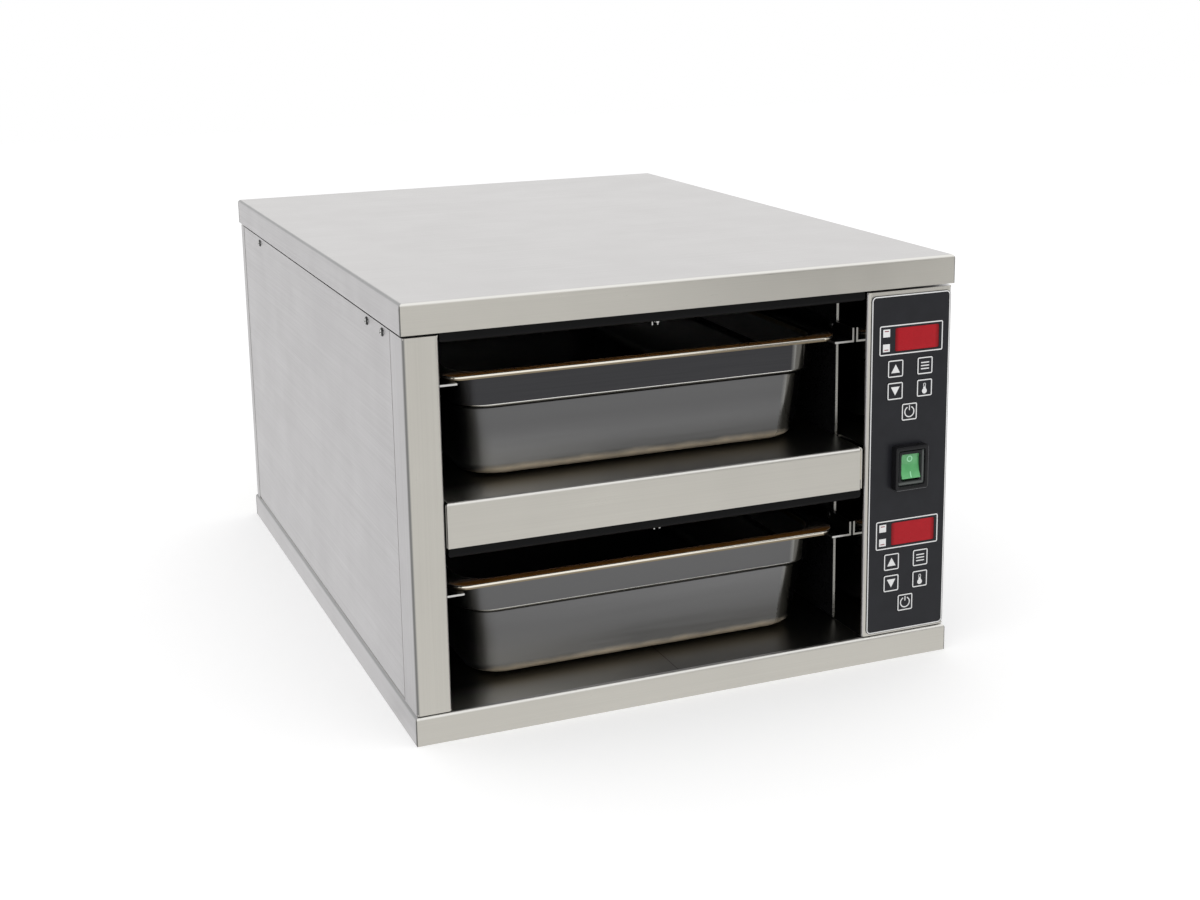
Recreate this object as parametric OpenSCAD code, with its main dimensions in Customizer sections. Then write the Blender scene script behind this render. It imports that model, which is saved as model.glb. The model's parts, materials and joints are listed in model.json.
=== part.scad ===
// Heated holding bin: two open-fronted bays, one over the other, each with an overhead heater and a
// steel food pan on runners, beside a column of controls. The frame is +X to the right, +Y to the
// back and +Z up, with the origin at the middle of the underside. Sizes are in millimetres.

/* [Cabinet] */
// Height of the top cover's sides
cap_h = 23; // [21:0.5:27]
// Height of the base tray's sides
base_h = 22; // [18:0.5:26]
// Width of the front pillar at the left
pillar_w = 28; // [24:0.5:36]
// Width of the control column at the right
control_w = 77; // [74:0.5:86]
// Height of the shelf between the bays
shelf_h = 34.2; // [32:0.1:42]

/* [Sheet metal] */
// Thickness of the outer sheets
sheet_t = 1.2; // [0.9:0.1:1.5]
// Outside radius of the folds
fold_r = 3; // [2.5:0.1:3.5]
// How far the walls stand inside the edges of the cover and the base
skin_inset = 1.2; // [0.8:0.1:2]
// Thickness of the bay liners
liner_t = 1; // [0.8:0.1:1.2]
// Depth of the pillar's side face, and of the control column's
pillar_return = 32; // [24:1:40]
// Depth of the folds that run back beside the bays
bay_return = 60; // [54:1:70]
// Where the liners' front edges start, from the front
liner_setback = 48; // [44:1:52]
// Depth of the rear panel's side folds
rear_return = 16; // [12:1:24]
// Width of the inward folds under the top cover and the panels
hem_w = 14; // [10:1:18]
// Width of the liners' feet on the base deck
liner_foot = 10; // [6:0.5:11]
// Height of the liner lips that the panels are screwed to
lip_h = 14; // [12:1:18]
// Open joint above the pillar, the panels and the control column
top_seam = 2; // [1:0.1:3]
// Open joint below the pillar and the control column
base_seam = 0.8; // [0.4:0.1:0.9]
// Open joint between neighbouring sheets and at the folded corners
sheet_seam = 0.8; // [0.4:0.1:1]
// Distance from the bay's middle to the seam in the base deck
deck_seam_x = 11; // [0:1:40]
// Space behind the rear liner
rear_space = 18.6; // [16:0.1:24]

/* [Shelf] */
// Gap between the shelf front and the pillar
shelf_gap_left = 1.4; // [1.2:0.1:3]
// Gap between the shelf front and the control column
shelf_gap_right = 4.5; // [2:0.1:6]

/* [Pans] */
// Width of a pan over its rim
pan_w = 325; // [300:1:360]
// Length of a pan over its rim
pan_l = 530; // [480:1:600]
// Depth of a pan
pan_depth = 85; // [75:0.5:120]
// Thickness of a pan's wall
pan_t = 0.8; // [0.6:0.1:1.2]
// Width of a pan's rim
rim_w = 12.5; // [11:0.5:14]
// Turn-down at a pan's rim
rim_drop = 3.2; // [2.6:0.1:4]
// Corner radius of a pan's rim
rim_corner = 15; // [12:1:20]
// Corner radius of a pan's wall
wall_corner = 26; // [22:1:40]
// Depth of a pan's stacking shoulder below its rim
shoulder_depth = 27.5; // [18:0.5:32]
// Inward step of the stacking shoulder
shoulder_step = 4; // [2:0.5:5]
// Inward draft of a pan's wall below the shoulder
wall_draft = 4; // [2:0.5:8]
// Radius of the rim's outer edge
rim_r = 1.4; // [1:0.1:2]
// Radius between the rim and the wall
throat_r = 3; // [2:0.1:4]
// Inward lean of the wall above the shoulder
throat_lean = 0.6; // [0.2:0.1:1]
// Drop of the stacking shoulder for each millimetre of its step
shoulder_slope = 0.7; // [0.5:0.1:1.2]
// Radius between a pan's wall and its bottom
pan_base_r = 9; // [7:1:16]
// Distance from the cabinet's front to a pan's rim
pan_recess = 25; // [22:1:30]
// Space between a pan's bottom and the bay floor
pan_float = 1.4; // [1:0.1:3]
// Space between a pan's rim and each wall of its bay
pan_side_gap = 10; // [9:0.5:20]
// Space between a pan's rim and the rear liner
pan_rear_gap = 24; // [18:0.5:40]
// Height from a pan's rim to the shelf or the cover above it
pan_headroom = 39; // [36:0.5:60]

/* [Runners] */
// How far a runner's ledge reaches under the pan's rim
ledge_lap = 8; // [6:0.5:9]
// Thickness of a runner
runner_t = 1.5; // [1.2:0.1:2]
// Height of a runner's leg above its ledge
runner_leg = 10; // [10:0.5:14]
// Distance from the cabinet's front to a runner's end
runner_recess = 20; // [16:1:24]
// Distance between a runner's back end and the rear liner
runner_tail = 12; // [6:1:40]
// Distance from a liner's front edge to its first rivets
rivet_front = 6; // [4:0.5:7]
// Distance from a runner's back end to its last rivet
rivet_rear = 20; // [10:1:60]

/* [Heaters] */
// Drop of the heater tray below the cover, and below the shelf
heater_drop = 8.5; // [6:0.5:9]
// Thickness of the heater tray
heater_t = 1.5; // [1.2:0.1:1.6]
// Height of the heater tray's sides
heater_h = 16; // [15:0.5:18]
// Distance from the cabinet's front to the heater trays
heater_recess = 4; // [3:0.1:6]
// Diameter of the heating element's tube
element_d = 8; // [6.5:0.1:8.5]
// Number of straight runs in a heating element
element_runs = 6; // [4:2:6]
// Distance between the runs of an element
element_pitch = 52; // [44:1:54]
// Space between the element's bends and the ends of its tray
element_margin = 36; // [34:1:70]
// Length of an element's cold ends
element_tail = 26; // [16:1:28]
// Width of the straps that hold an element down
strap_w = 12; // [8:1:20]
// Thickness of a strap
strap_t = 1.2; // [0.8:0.1:1.5]
// Distance of the straps from the middle of the tray
strap_y = 150; // [80:5:180]
// Diameter of the over-heat cut-out
cutout_d = 16; // [14:0.5:20]
// Height of the over-heat cut-out
cutout_h = 9; // [7:0.5:10]
// Diameter of the air probe
probe_d = 3.2; // [3:0.1:5]
// Length of the air probe
probe_l = 90; // [60:5:150]
// Distance from the cabinet's front to the probe's clip
probe_recess = 18; // [14:1:40]
// Thickness of the probe clip's legs
clip_t = 1; // [0.6:0.1:1.2]
// Length of the probe clip
clip_l = 6; // [4:0.5:10]

/* [Insulation] */
// Thickness of the board behind the right liner
right_board_t = 11; // [9:0.5:12]

/* [Controls] */
// Thickness of the front overlay
overlay_t = 0.8; // [0.6:0.1:1.2]
// Bare steel left of and above the overlay
overlay_margin = 3; // [2:0.1:4]
// Bare steel right of and below the overlay
overlay_edge = 1.4; // [1:0.1:2]
// Corner radius of the overlay
overlay_r = 4; // [3:0.5:6]
// Height of a display's middle above its bay's floor
display_height = 84.5; // [80:0.5:87]
// Width of a display window
display_w = 39.6; // [34:0.2:40]
// Height of a display window
display_h = 18.6; // [15:0.2:19]
// Offset of a display window from the column's middle
display_x = 6; // [4:0.5:7]
// Side of a key
key_s = 14; // [12:0.1:15]
// Corner radius of a key
key_r = 1.4; // [0.8:0.1:3]
// How far a key stands out of the overlay
key_proud = 0.4; // [0.3:0.1:0.5]
// Diameter of the stem behind a key
key_stem_d = 4; // [3:0.1:4.4]
// Travel of a key
key_travel = 0.5; // [0.3:0.1:0.6]
// Depth of the pocket that takes a key's stem
stem_pocket = 2.5; // [2:0.1:3]
// Space left behind a stem at the end of its travel
stem_float = 0.4; // [0.2:0.1:0.8]
// Distance from the column's middle to the key columns
key_x = 13.4; // [11:0.1:14]
// Distance from a display's middle down to the first key row
key_drop = 23.1; // [21:0.1:24.5]
// Distance between key rows
key_pitch = 18.1; // [17:0.1:19]
// Distance between the column's face and its circuit boards
board_gap = 12; // [10:0.5:16]
// Thickness of a circuit board
board_t = 1.6; // [1.2:0.1:2]
// Width of a circuit board
board_w = 62; // [60:0.5:64]
// Edge of a circuit board beyond the display and the last key
board_edge = 5.5; // [5.5:0.5:7]
// Diameter of a board spacer
spacer_d = 5; // [4:0.1:5]
// Edge left between a spacer and its board's sides
spacer_inset = 0.5; // [0.2:0.1:1]
// Side of the small switch under each key
tact_s = 7; // [6.6:0.1:9]

/* [Power switch] */
// Width of the switch guard
guard_w = 30; // [28:0.5:36]
// Height of the switch guard
guard_h = 36; // [35:0.5:43]
// How far the guard stands out of the overlay
guard_d = 7; // [5:0.5:8]
// Corner radius of the guard
guard_r = 2; // [1:0.1:3]
// Distance from the shelf's middle down to the switch
switch_drop = 2.5; // [0:0.5:4]
// Width of the rocker
rocker_w = 16.7; // [14:0.1:18]
// Height of the rocker
rocker_h = 19.4; // [18:0.1:22]
// Depth of the rocker in front of its pivot
rocker_front = 5.5; // [4.5:0.1:6]
// Depth of the rocker behind its pivot
rocker_back = 4; // [3:0.1:4.5]
// Hollow in the rocker's face
rocker_dish = 1.7; // [0.8:0.1:2]
// Thickness of the rocker's ends behind its pivot's line
rocker_heel = 1; // [0.5:0.1:1.5]
// Gap between the rocker's sides and its pocket
rocker_side_gap = 0.3; // [0.2:0.05:0.5]
// Gap between the rocker's ends and its pocket
rocker_end_gap = 1.3; // [1.2:0.1:1.6]
// Room behind the rocker for its swing
rocker_room = 2; // [1.5:0.1:3]
// Distance of the rocker's pivot behind the overlay's face
pivot_setback = 1.2; // [0.8:0.1:1.6]
// How far the pivots reach into the switch body's walls
pivot_bite = 1; // [0.6:0.1:1.1]
// How far the switch body's rim lies behind the guard's front
bezel_recess = 2.5; // [1.5:0.1:3.5]
// Tilt of the rocker either way
rocker_tilt = 9; // [6:0.5:10]
// Diameter of the rocker's pivots
pivot_d = 3; // [2.4:0.1:3.4]
// Wall of the switch body
switch_wall = 3; // [2:0.1:3.4]
// Depth of the switch body behind the column's face
switch_depth = 24; // [20:1:28]

/* [Electrics] */
// Distance from the cabinet's front to the electrics plate
plate_recess = 200; // [160:5:240]
// Length of the electrics plate
plate_l = 240; // [230:5:300]
// Height of the electrics plate
plate_h = 200; // [160:5:210]
// Distance from the electrics plate's ends to what it carries
plate_margin = 20; // [10:1:30]
// Gap between the heater relays
relay_gap = 16; // [4:1:30]
// Height of the relays' middles above the base deck
relay_height = 115; // [80:5:150]
// Thickness of a relay's metal foot
relay_foot_t = 3; // [2:0.5:5]
// How far a relay's foot shows above and below its body
relay_foot_edge = 6; // [4:0.5:10]
// Radius of a relay's terminal wells
relay_well_r = 4; // [3:0.5:5]
// Width of a heater relay
relay_w = 45; // [40:1:50]
// Height of a heater relay
relay_h = 58; // [50:1:60]
// Depth of a heater relay
relay_d = 23; // [18:1:30]
// Number of ways in the terminal block
terminal_ways = 5; // [3:1:8]
// Pitch of the terminal block
terminal_pitch = 10; // [8:0.5:12]
// Depth of the terminal block
terminal_d = 14; // [10:0.5:20]
// Height of the terminal block
terminal_h = 22; // [16:0.5:30]
// Depth of the terminal block's screw wells
terminal_well = 6; // [4:0.5:8]
// Height of the terminal block's middle above the base deck
terminal_height = 40; // [30:1:60]
// Radius of the cable hole through the gland
gland_bore_r = 4.5; // [3:0.1:5]
// Radius of the gland's thread
gland_thread_r = 8; // [7.5:0.1:9]
// Distance across the flats of the gland's nuts
gland_flats = 22; // [20:0.5:26]
// How far the gland stands out behind
gland_out = 18; // [14:1:24]
// Thickness of the gland's flange
gland_flange = 5; // [4:0.5:7]
// Length of the gland's thread inside the rear panel
gland_inside = 14; // [10:1:20]
// Hollow round the gland's outer end
gland_neck_r = 4; // [2:0.5:5]
// Thickness of the gland's locknut
locknut_t = 5; // [4:0.5:7]
// Height of the gland above the base deck
gland_z = 40; // [30:1:80]
// Number of slots in the rear vent
vent_slots = 8; // [4:1:10]
// Length of a vent slot
vent_l = 40; // [20:1:44]
// Width of a vent slot
vent_w = 4; // [3:0.5:5]
// Distance between vent slots
vent_pitch = 10; // [8:0.5:12]

/* [Fasteners] */
// Radius of a case screw's head
screw_head_r = 3.5; // [3:0.1:4.5]
// Height of a case screw's head
screw_head_h = 2; // [1.5:0.1:2.5]
// Radius of a case screw's shank
screw_r = 1.9; // [1.5:0.1:2.2]
// Length of a case screw's shank
screw_l = 7; // [5:0.5:9]
// Distance of the case screws below the top cover
screw_drop = 7; // [6.5:0.5:9]
// Distance from each end of a side to its main screws
screw_end = 98; // [90:1:120]
// Distance from the front to the extra side screw
screw_front = 54; // [54:1:64]
// Radius of a rivet's head
rivet_head_r = 3; // [2.4:0.1:3.2]
// Height of a rivet's head
rivet_head_h = 1.1; // [0.8:0.1:1.4]
// Radius of a rivet's shank
rivet_r = 1.6; // [1.4:0.1:1.8]
// Rivets along each runner and each side of the shelf
rivet_count = 3; // [2:1:5]
// Edge left between a rivet's head and a runner's upper edge
rivet_edge = 0.8; // [0.4:0.1:1]
// Length of a rivet's tail behind the sheets
rivet_tail = 2; // [1:0.5:3]
// Height of the shelf's rivets above its middle
shelf_rivet_rise = 4; // [0:0.5:5]

/* [Clearances] */
// Gap between sheets that lie side by side
fit = 0.1; // [0.05:0.05:0.2]
// Gap around pieces set into a cut-out
slip = 0.2; // [0.1:0.05:0.25]
// Gap around a key in the overlay
key_gap = 0.25; // [0.2:0.05:0.3]
// Radial gap of a pivot or a stem in its bore
running = 0.05; // [0.02:0.01:0.08]
// Gap between a pan's rim and its runners
seat_gap = 0.3; // [0.2:0.1:0.5]

/* [Hidden] */
$fn = 48;
eps = 0.01;
cut = 1;

// The cabinet is built round its two pans
bay_w = pan_w + 2 * pan_side_gap;
bay_h = pan_float + pan_depth + pan_headroom;
cabinet_w = pillar_w + bay_w + control_w;
cabinet_d = pan_recess + pan_l + pan_rear_gap + rear_space + sheet_t + skin_inset;
cabinet_h = base_h + 2 * bay_h + shelf_h + cap_h;
x_left = -cabinet_w / 2;
x_right = cabinet_w / 2;
y_front = -cabinet_d / 2;
y_back = cabinet_d / 2;
z_cap = cabinet_h - cap_h;
z_seam = z_cap - top_seam;

// Outer faces of the walls
skin_left = x_left + skin_inset;
skin_right = x_right - skin_inset;
skin_front = y_front + skin_inset;
skin_back = y_back - skin_inset;

// The two bays, lower then upper
bay_x0 = x_left + pillar_w;
bay_x1 = x_right - control_w;
bay_x = (bay_x0 + bay_x1) / 2;
shelf_z0 = base_h + bay_h;
shelf_z1 = shelf_z0 + shelf_h;
floors = [base_h, shelf_z1];
ceilings = [shelf_z0, z_cap];
liner_y0 = y_front + liner_setback;
rear_y0 = skin_back - sheet_t - rear_space;
rear_y1 = rear_y0 + liner_t;
between_x0 = bay_x0 + liner_t + fit;
between_x1 = bay_x1 - liner_t - fit;

// Heater trays: the lower one hangs inside the shelf, the upper one between the liners
tray_x0 = [between_x0 + sheet_t + fit, between_x0];
tray_x1 = [between_x1 - sheet_t - fit, between_x1];
tray_y0 = y_front + heater_recess;
tray_y1 = rear_y0 - 2 * fit - sheet_t;
tray_z = [for (z = ceilings) z - heater_drop];
tray_y = (tray_y0 + tray_y1) / 2;
element_end = (tray_y1 - tray_y0) / 2 - element_margin - element_pitch / 2;

// Pans and runners
pan_y = y_front + pan_recess + pan_l / 2;
rim_z = [for (z = floors) z + pan_float + pan_depth];
ledge_z = [for (z = rim_z) z - rim_drop - seat_gap];
ledge_w = (bay_w - 2 * liner_t - pan_w) / 2 + ledge_lap;
runner_y0 = y_front + runner_recess;
runner_y1 = rear_y0 - runner_tail;
rivet_z = runner_t + runner_leg - rivet_head_r - rivet_edge;
rivet_l = runner_t + liner_t + sheet_t + rivet_tail;

// Controls
control_x = x_right - control_w / 2;
overlay_x0 = bay_x1 + overlay_margin;
overlay_x1 = skin_right - overlay_edge;
overlay_z0 = base_h + base_seam + overlay_edge;
overlay_z1 = z_seam - overlay_margin;
overlay_y = skin_front - overlay_t;
panel_back = skin_front + sheet_t;
board_y = panel_back + board_gap;
display_z = [for (z = floors) z + display_height];
key_places = [
    [-key_x, -key_drop],
    [key_x, -key_drop],
    [-key_x, -key_drop - key_pitch],
    [key_x, -key_drop - key_pitch],
    [0, -key_drop - 2 * key_pitch]
];
key_hole = key_s + 2 * key_gap;
tact_y = panel_back + board_gap / 2;
stem_end = tact_y + stem_pocket - key_travel - stem_float;
board_top = display_h / 2 + board_edge;
board_bottom = key_drop + 2 * key_pitch + key_s / 2 + board_edge;

// Power switch
switch_z = (shelf_z0 + shelf_z1) / 2 - switch_drop;
pivot_y = overlay_y + pivot_setback;
pocket_w = rocker_w + 2 * rocker_side_gap;
pocket_h = rocker_h + 2 * rocker_end_gap;
body_w = pocket_w + 2 * switch_wall;
body_h = pocket_h + 2 * switch_wall;
body_y0 = overlay_y - guard_d + bezel_recess;
body_y1 = panel_back + switch_depth;
pocket_y1 = pivot_y + rocker_back + rocker_room;

// Electrics
plate_x = bay_x1 + right_board_t + fit;
plate_face = plate_x + sheet_t;
plate_y0 = y_front + plate_recess;
relay_y = [for (i = [0, 1]) plate_y0 + plate_margin + relay_w / 2 + i * (relay_w + relay_gap)];
relay_z = base_h + relay_height;
terminal_y = plate_y0 + plate_l - plate_margin - terminal_ways * terminal_pitch / 2;
gland_x = (plate_face + skin_right) / 2;
gland_center_z = base_h + gland_z;

// Shapes that several pieces share

// A box from its lowest to its highest corner
module slab(x0, x1, y0, y1, z0, z1) {
    translate([x0, y0, z0]) cube([x1 - x0, y1 - y0, z1 - z0]);
}

// A rectangle from corner to corner with round corners
module round_rect(x0, y0, x1, y1, r) {
    translate([x0 + r, y0]) square([x1 - x0 - 2 * r, y1 - y0]);
    translate([x0, y0 + r]) square([x1 - x0, y1 - y0 - 2 * r]);
    for (x = [x0 + r, x1 - r], y = [y0 + r, y1 - r]) translate([x, y]) circle(r);
}

// The wall of a folded sheet around a rectangle
module folded_outline(x0, y0, x1, y1, t) {
    difference() {
        round_rect(x0, y0, x1, y1, fold_r);
        round_rect(x0 + t, y0 + t, x1 - t, y1 - t, fold_r - t);
    }
}

// A rectangle from corner to corner
module span(x0, y0, x1, y1) {
    translate([x0, y0]) square([x1 - x0, y1 - y0]);
}

// A rectangle around a middle
module middle_rect(x, y, w, h, r) {
    round_rect(x - w / 2, y - h / 2, x + w / 2, y + h / 2, r);
}

// An outline in X and Z, made into a plate from y0 to y1
module along_y(y0, y1) {
    translate([0, y1, 0]) rotate([90, 0, 0]) linear_extrude(y1 - y0) children();
}

// An outline in Y and Z, made into a plate from x0 to x1
module along_x(x0, x1) {
    translate([x0, 0, 0]) rotate([90, 0, 90]) linear_extrude(x1 - x0) children();
}

// An outline in X and Y, made into a plate from z0 to z1
module along_z(z0, z1) {
    translate([0, 0, z0]) linear_extrude(z1 - z0) children();
}

// A profile with round upper corners
module crown(w, h, r) {
    span(-w / 2, 0, w / 2, h - r);
    span(-w / 2 + r, 0, w / 2 - r, h);
    for (s = [-1, 1]) translate([s * (w / 2 - r), h - r]) circle(r);
}

// A block whose four upper edges are round
module fold_block(w, d, h, r) {
    intersection() {
        along_y(-d / 2, d / 2) crown(w, h, r);
        along_x(-w / 2, w / 2) crown(d, h, r);
    }
}

// A sheet folded down on four sides, open below, with open seams at its corners
module folded_tray(w, d, h, t) {
    difference() {
        fold_block(w, d, h, fold_r);
        translate([0, 0, -cut]) fold_block(w - 2 * t, d - 2 * t, h - t + cut, fold_r - t);
        for (sx = [-1, 1], sy = [-1, 1])
            translate([sx * (w / 2 - t / 2), sy * (d / 2 - t - sheet_seam / 2), (h - fold_r - cut) / 2])
                cube([t + 2 * eps, sheet_seam, h - fold_r + cut], center = true);
    }
}

// A fastener's round head and shank, along +X with the head's seat at the origin
module dome_fastener(head_r, head_h, r, l) {
    rotate([0, 90, 0]) cylinder(r = r, h = l);
    rotate([0, -90, 0]) rotate_extrude() intersection() {
        dome_r = (head_r * head_r + head_h * head_h) / (2 * head_h);
        translate([0, head_h - dome_r]) circle(dome_r);
        square([head_r, head_h]);
    }
}

// Casing

module base_plate() {
    color("silver") slab(x_left + sheet_t + fit, x_right - sheet_t - fit,
        y_front + sheet_t + fit, y_back - sheet_t - fit, 0, sheet_t);
}

module base_tray() {
    seam_x = bay_x + deck_seam_x;
    color("gainsboro") difference() {
        folded_tray(cabinet_w, cabinet_d, base_h, sheet_t);
        slab(seam_x - sheet_seam / 2, seam_x + sheet_seam / 2, skin_front + fold_r, rear_y0,
            base_h - sheet_t / 2, base_h + cut);
    }
}

module base_insulation() {
    inset = sheet_t + fit;
    color("khaki") slab(x_left + 2 * inset, x_right - 2 * inset, y_front + 2 * inset,
        y_back - 2 * inset, sheet_t + fit, base_h - sheet_t - fit);
}

// The inward fold under the cover leaves room for the heater tray at the front of the bays
module top_cover() {
    color("gainsboro") translate([0, 0, z_cap]) {
        folded_tray(cabinet_w, cabinet_d, cap_h, sheet_t);
        along_z(0, sheet_t) difference() {
            span(x_left + sheet_t / 2, y_front + sheet_t / 2, x_right - sheet_t / 2, y_back - sheet_t / 2);
            span(x_left + hem_w, y_front + hem_w, x_right - hem_w, y_back - hem_w);
            span(bay_x0, y_front + sheet_t, bay_x1, y_front + hem_w + cut);
        }
    }
}

// A flat side with a fold at its foot, drawn for the left
module side_sheet() {
    y0 = skin_front + pillar_return + sheet_seam;
    y1 = skin_back - rear_return - sheet_seam;
    along_y(y0, y1) difference() {
        folded_outline(skin_left, base_h, skin_left + 2 * hem_w, cabinet_h, sheet_t);
        span(skin_left - cut, z_seam, skin_left + 2 * hem_w + cut, cabinet_h + cut);
        span(skin_left + hem_w, base_h - cut, skin_left + 2 * hem_w + cut, cabinet_h);
    }
}

module side_screw_places() {
    for (y = [y_front + screw_front, y_front + screw_end, y_back - screw_end])
        translate([skin_left, y, z_cap - screw_drop]) children();
}

module rear_screw_places() {
    for (x = [bay_x0 + screw_end, bay_x1 - screw_end])
        translate([x, skin_back, z_cap - screw_drop]) rotate([0, 0, -90]) children();
}

module screw_hole() {
    translate([-cut, 0, 0]) rotate([0, 90, 0]) cylinder(r = screw_r + fit, h = screw_l + 2 * cut);
}

module left_side_panel() {
    color("lightgray") difference() {
        side_sheet();
        side_screw_places() screw_hole();
    }
}

module right_side_panel() {
    color("lightgray") mirror([1, 0, 0]) difference() {
        side_sheet();
        side_screw_places() screw_hole();
    }
}

module rear_panel() {
    vent_z0 = base_h + gland_z + gland_flats + vent_l / 2;
    color("lightgray") difference() {
        along_z(base_h, z_seam) difference() {
            folded_outline(skin_left, skin_back - 2 * rear_return, skin_right, skin_back, sheet_t);
            span(skin_left - cut, skin_back - 2 * rear_return - cut, skin_right + cut,
                skin_back - rear_return);
        }
        rear_screw_places() screw_hole();
        translate([gland_x, skin_back - sheet_t - cut, gland_center_z]) rotate([-90, 0, 0])
            cylinder(r = gland_thread_r + fit, h = sheet_t + 2 * cut);
        for (i = [0 : vent_slots - 1]) along_y(skin_back - sheet_t - cut, skin_back + cut)
            middle_rect(gland_x, vent_z0 + i * vent_pitch, vent_l, vent_w, vent_w / 2 - eps);
    }
}

// A channel that stands at the front, with a fold at each side and a tab at each end
module front_channel(x0, x1, left_fold, right_fold) {
    z0 = base_h + base_seam;
    far = skin_front + 2 * max(left_fold, right_fold);
    mid = (x0 + x1) / 2;
    along_z(z0, z_seam) difference() {
        folded_outline(x0, skin_front, x1, far, sheet_t);
        span(x0 - cut, skin_front + left_fold, mid, far + cut);
        span(mid, skin_front + right_fold, x1 + cut, far + cut);
    }
    for (z = [z0, z_seam - sheet_t]) along_z(z, z + sheet_t)
        span(x0 + sheet_t / 2, skin_front + sheet_t / 2, x1 - sheet_t / 2, skin_front + hem_w);
}

// Cut-backs at the ends of a fold beside the bays, where the liner's own folds pass
module fold_reliefs(x) {
    for (z = [base_h, z_seam - fold_r]) slab(x - fold_r, x + fold_r, liner_y0 - fit,
        skin_front + bay_return + cut, z, z + fold_r + fit);
}

module front_pillar() {
    color("silver") difference() {
        front_channel(skin_left, bay_x0, pillar_return, bay_return);
        fold_reliefs(bay_x0);
        for (z = [base_h + base_seam, z_seam]) translate([bay_x0, skin_front, z])
            cube(2 * sheet_t, center = true);
        liner_rivet_places(true) rivet_hole();
    }
}

module control_fascia() {
    color("silver") difference() {
        front_channel(bay_x1, skin_right, bay_return, pillar_return);
        fold_reliefs(bay_x1);
        along_y(skin_front - cut, panel_back + cut) control_cutouts(slip);
        liner_rivet_places(false) rivet_hole();
    }
}

// Openings through the control column's face for keys, windows and the power switch
module control_cutouts(gap) {
    for (z = display_z) {
        middle_rect(control_x + display_x, z, display_w + 2 * gap, display_h + 2 * gap, key_r);
        for (p = key_places) middle_rect(control_x + p[0], z + p[1], key_hole, key_hole, key_r);
    }
    middle_rect(control_x, switch_z, body_w + 2 * gap, body_h + 2 * gap, key_r);
}

// Bays

// Shelf: a folded deck with a deep front, shorter at the control column
module shelf_tray() {
    d = rear_y0 - fit - skin_front;
    w = between_x1 - between_x0;
    color("silver") difference() {
        translate([(between_x0 + between_x1) / 2, skin_front + d / 2, shelf_z0])
            folded_tray(w, d, shelf_h, sheet_t);
        slab(bay_x1 - shelf_gap_right, bay_x1, skin_front - cut, skin_front + fold_r,
            shelf_z0 - cut, shelf_z1 + cut);
        slab(bay_x0, bay_x0 + shelf_gap_left, skin_front - cut, skin_front + fold_r,
            shelf_z0 - cut, shelf_z1 + cut);
        liner_rivet_places(true) rivet_hole();
        liner_rivet_places(false) rivet_hole();
    }
}

// A side liner's section: the bay's wall, a fold over the insulation and a lip for the side panel
module liner_section(wall_x, lip_x) {
    side = wall_x > lip_x ? 1 : -1;
    web = wall_x + side * liner_t;
    low = min(web, lip_x);
    high = max(web, lip_x);
    difference() {
        folded_outline(low, base_h, high, z_cap, liner_t);
        translate([(lip_x + wall_x - side * liner_foot) / 2, (base_h + z_cap - lip_h) / 2])
            square([abs(wall_x - side * liner_foot - lip_x) + eps, z_cap - lip_h - base_h + 2 * eps],
                center = true);
    }
}

module left_liner() {
    color("dimgray") difference() {
        along_y(liner_y0, rear_y1) liner_section(bay_x0, skin_left + sheet_t + fit);
        side_screw_places() screw_hole();
        liner_rivet_places(true) rivet_hole();
    }
}

module right_liner() {
    color("dimgray") difference() {
        along_y(liner_y0, rear_y1) liner_section(bay_x1, skin_right - sheet_t - fit);
        mirror([1, 0, 0]) side_screw_places() screw_hole();
        liner_rivet_places(false) rivet_hole();
    }
}

module rear_liner() {
    lip_y = skin_back - sheet_t - fit;
    color("dimgray") difference() {
        along_x(between_x0, between_x1) difference() {
            folded_outline(rear_y0, base_h, lip_y, z_cap, liner_t);
            span(rear_y0 + liner_t + liner_foot, base_h - cut, lip_y + cut, z_cap - lip_h);
        }
        rear_screw_places() screw_hole();
    }
}

// Pan runners: an angle with its leg up against the liner
module runner(level, left) {
    wall = left ? bay_x0 + liner_t : bay_x1 - liner_t;
    z = ledge_z[level];
    color("silver") difference() {
        along_y(runner_y0, runner_y1) translate([wall, z - runner_t]) mirror([left ? 0 : 1, 0]) {
            span(0, 0, ledge_w, runner_t);
            span(0, 0, runner_t, runner_t + runner_leg);
        }
        liner_rivet_places(left) rivet_hole();
    }
}

module upper_left_runner() runner(1, true);
module upper_right_runner() runner(1, false);
module lower_left_runner() runner(0, true);
module lower_right_runner() runner(0, false);

// Rivet places on one wall, as points whose +X runs from the bay into the wall. The first group
// holds the runners, the second the shelf.
module liner_rivet_places(left) {
    wall = left ? bay_x0 + liner_t : bay_x1 - liner_t;
    side = left ? 1 : -1;
    first = liner_y0 + rivet_front;
    last = runner_y1 - rivet_rear;
    for (i = [0 : rivet_count - 1]) {
        y = first + i * (last - first) / (rivet_count - 1);
        for (z = ledge_z) translate([wall + side * runner_t, y, z - runner_t + rivet_z])
            mirror([left ? 1 : 0, 0, 0]) children();
        translate([wall + side * (fit + sheet_t), y, (shelf_z0 + shelf_z1) / 2 + shelf_rivet_rise])
            mirror([left ? 1 : 0, 0, 0]) children();
    }
}

module rivet_hole() {
    translate([-cut, 0, 0]) rotate([0, 90, 0])
        cylinder(r = rivet_r + running, h = rivet_l + 2 * cut);
}

module liner_rivets() {
    color("lightgray") for (left = [true, false]) liner_rivet_places(left)
        dome_fastener(rivet_head_r, rivet_head_h, rivet_r, rivet_l);
}

// Food pans: one rounded-rectangle section after another, along a profile from the rim's edge to
// the bottom and back along the other face

// Points round a quarter turn, from one direction to another
function turn(x, z, r, from, to, n) = [for (i = [0 : n]) let (a = from + (to - from) * i / n)
    [x + r * cos(a), z + r * sin(a)]];

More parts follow.
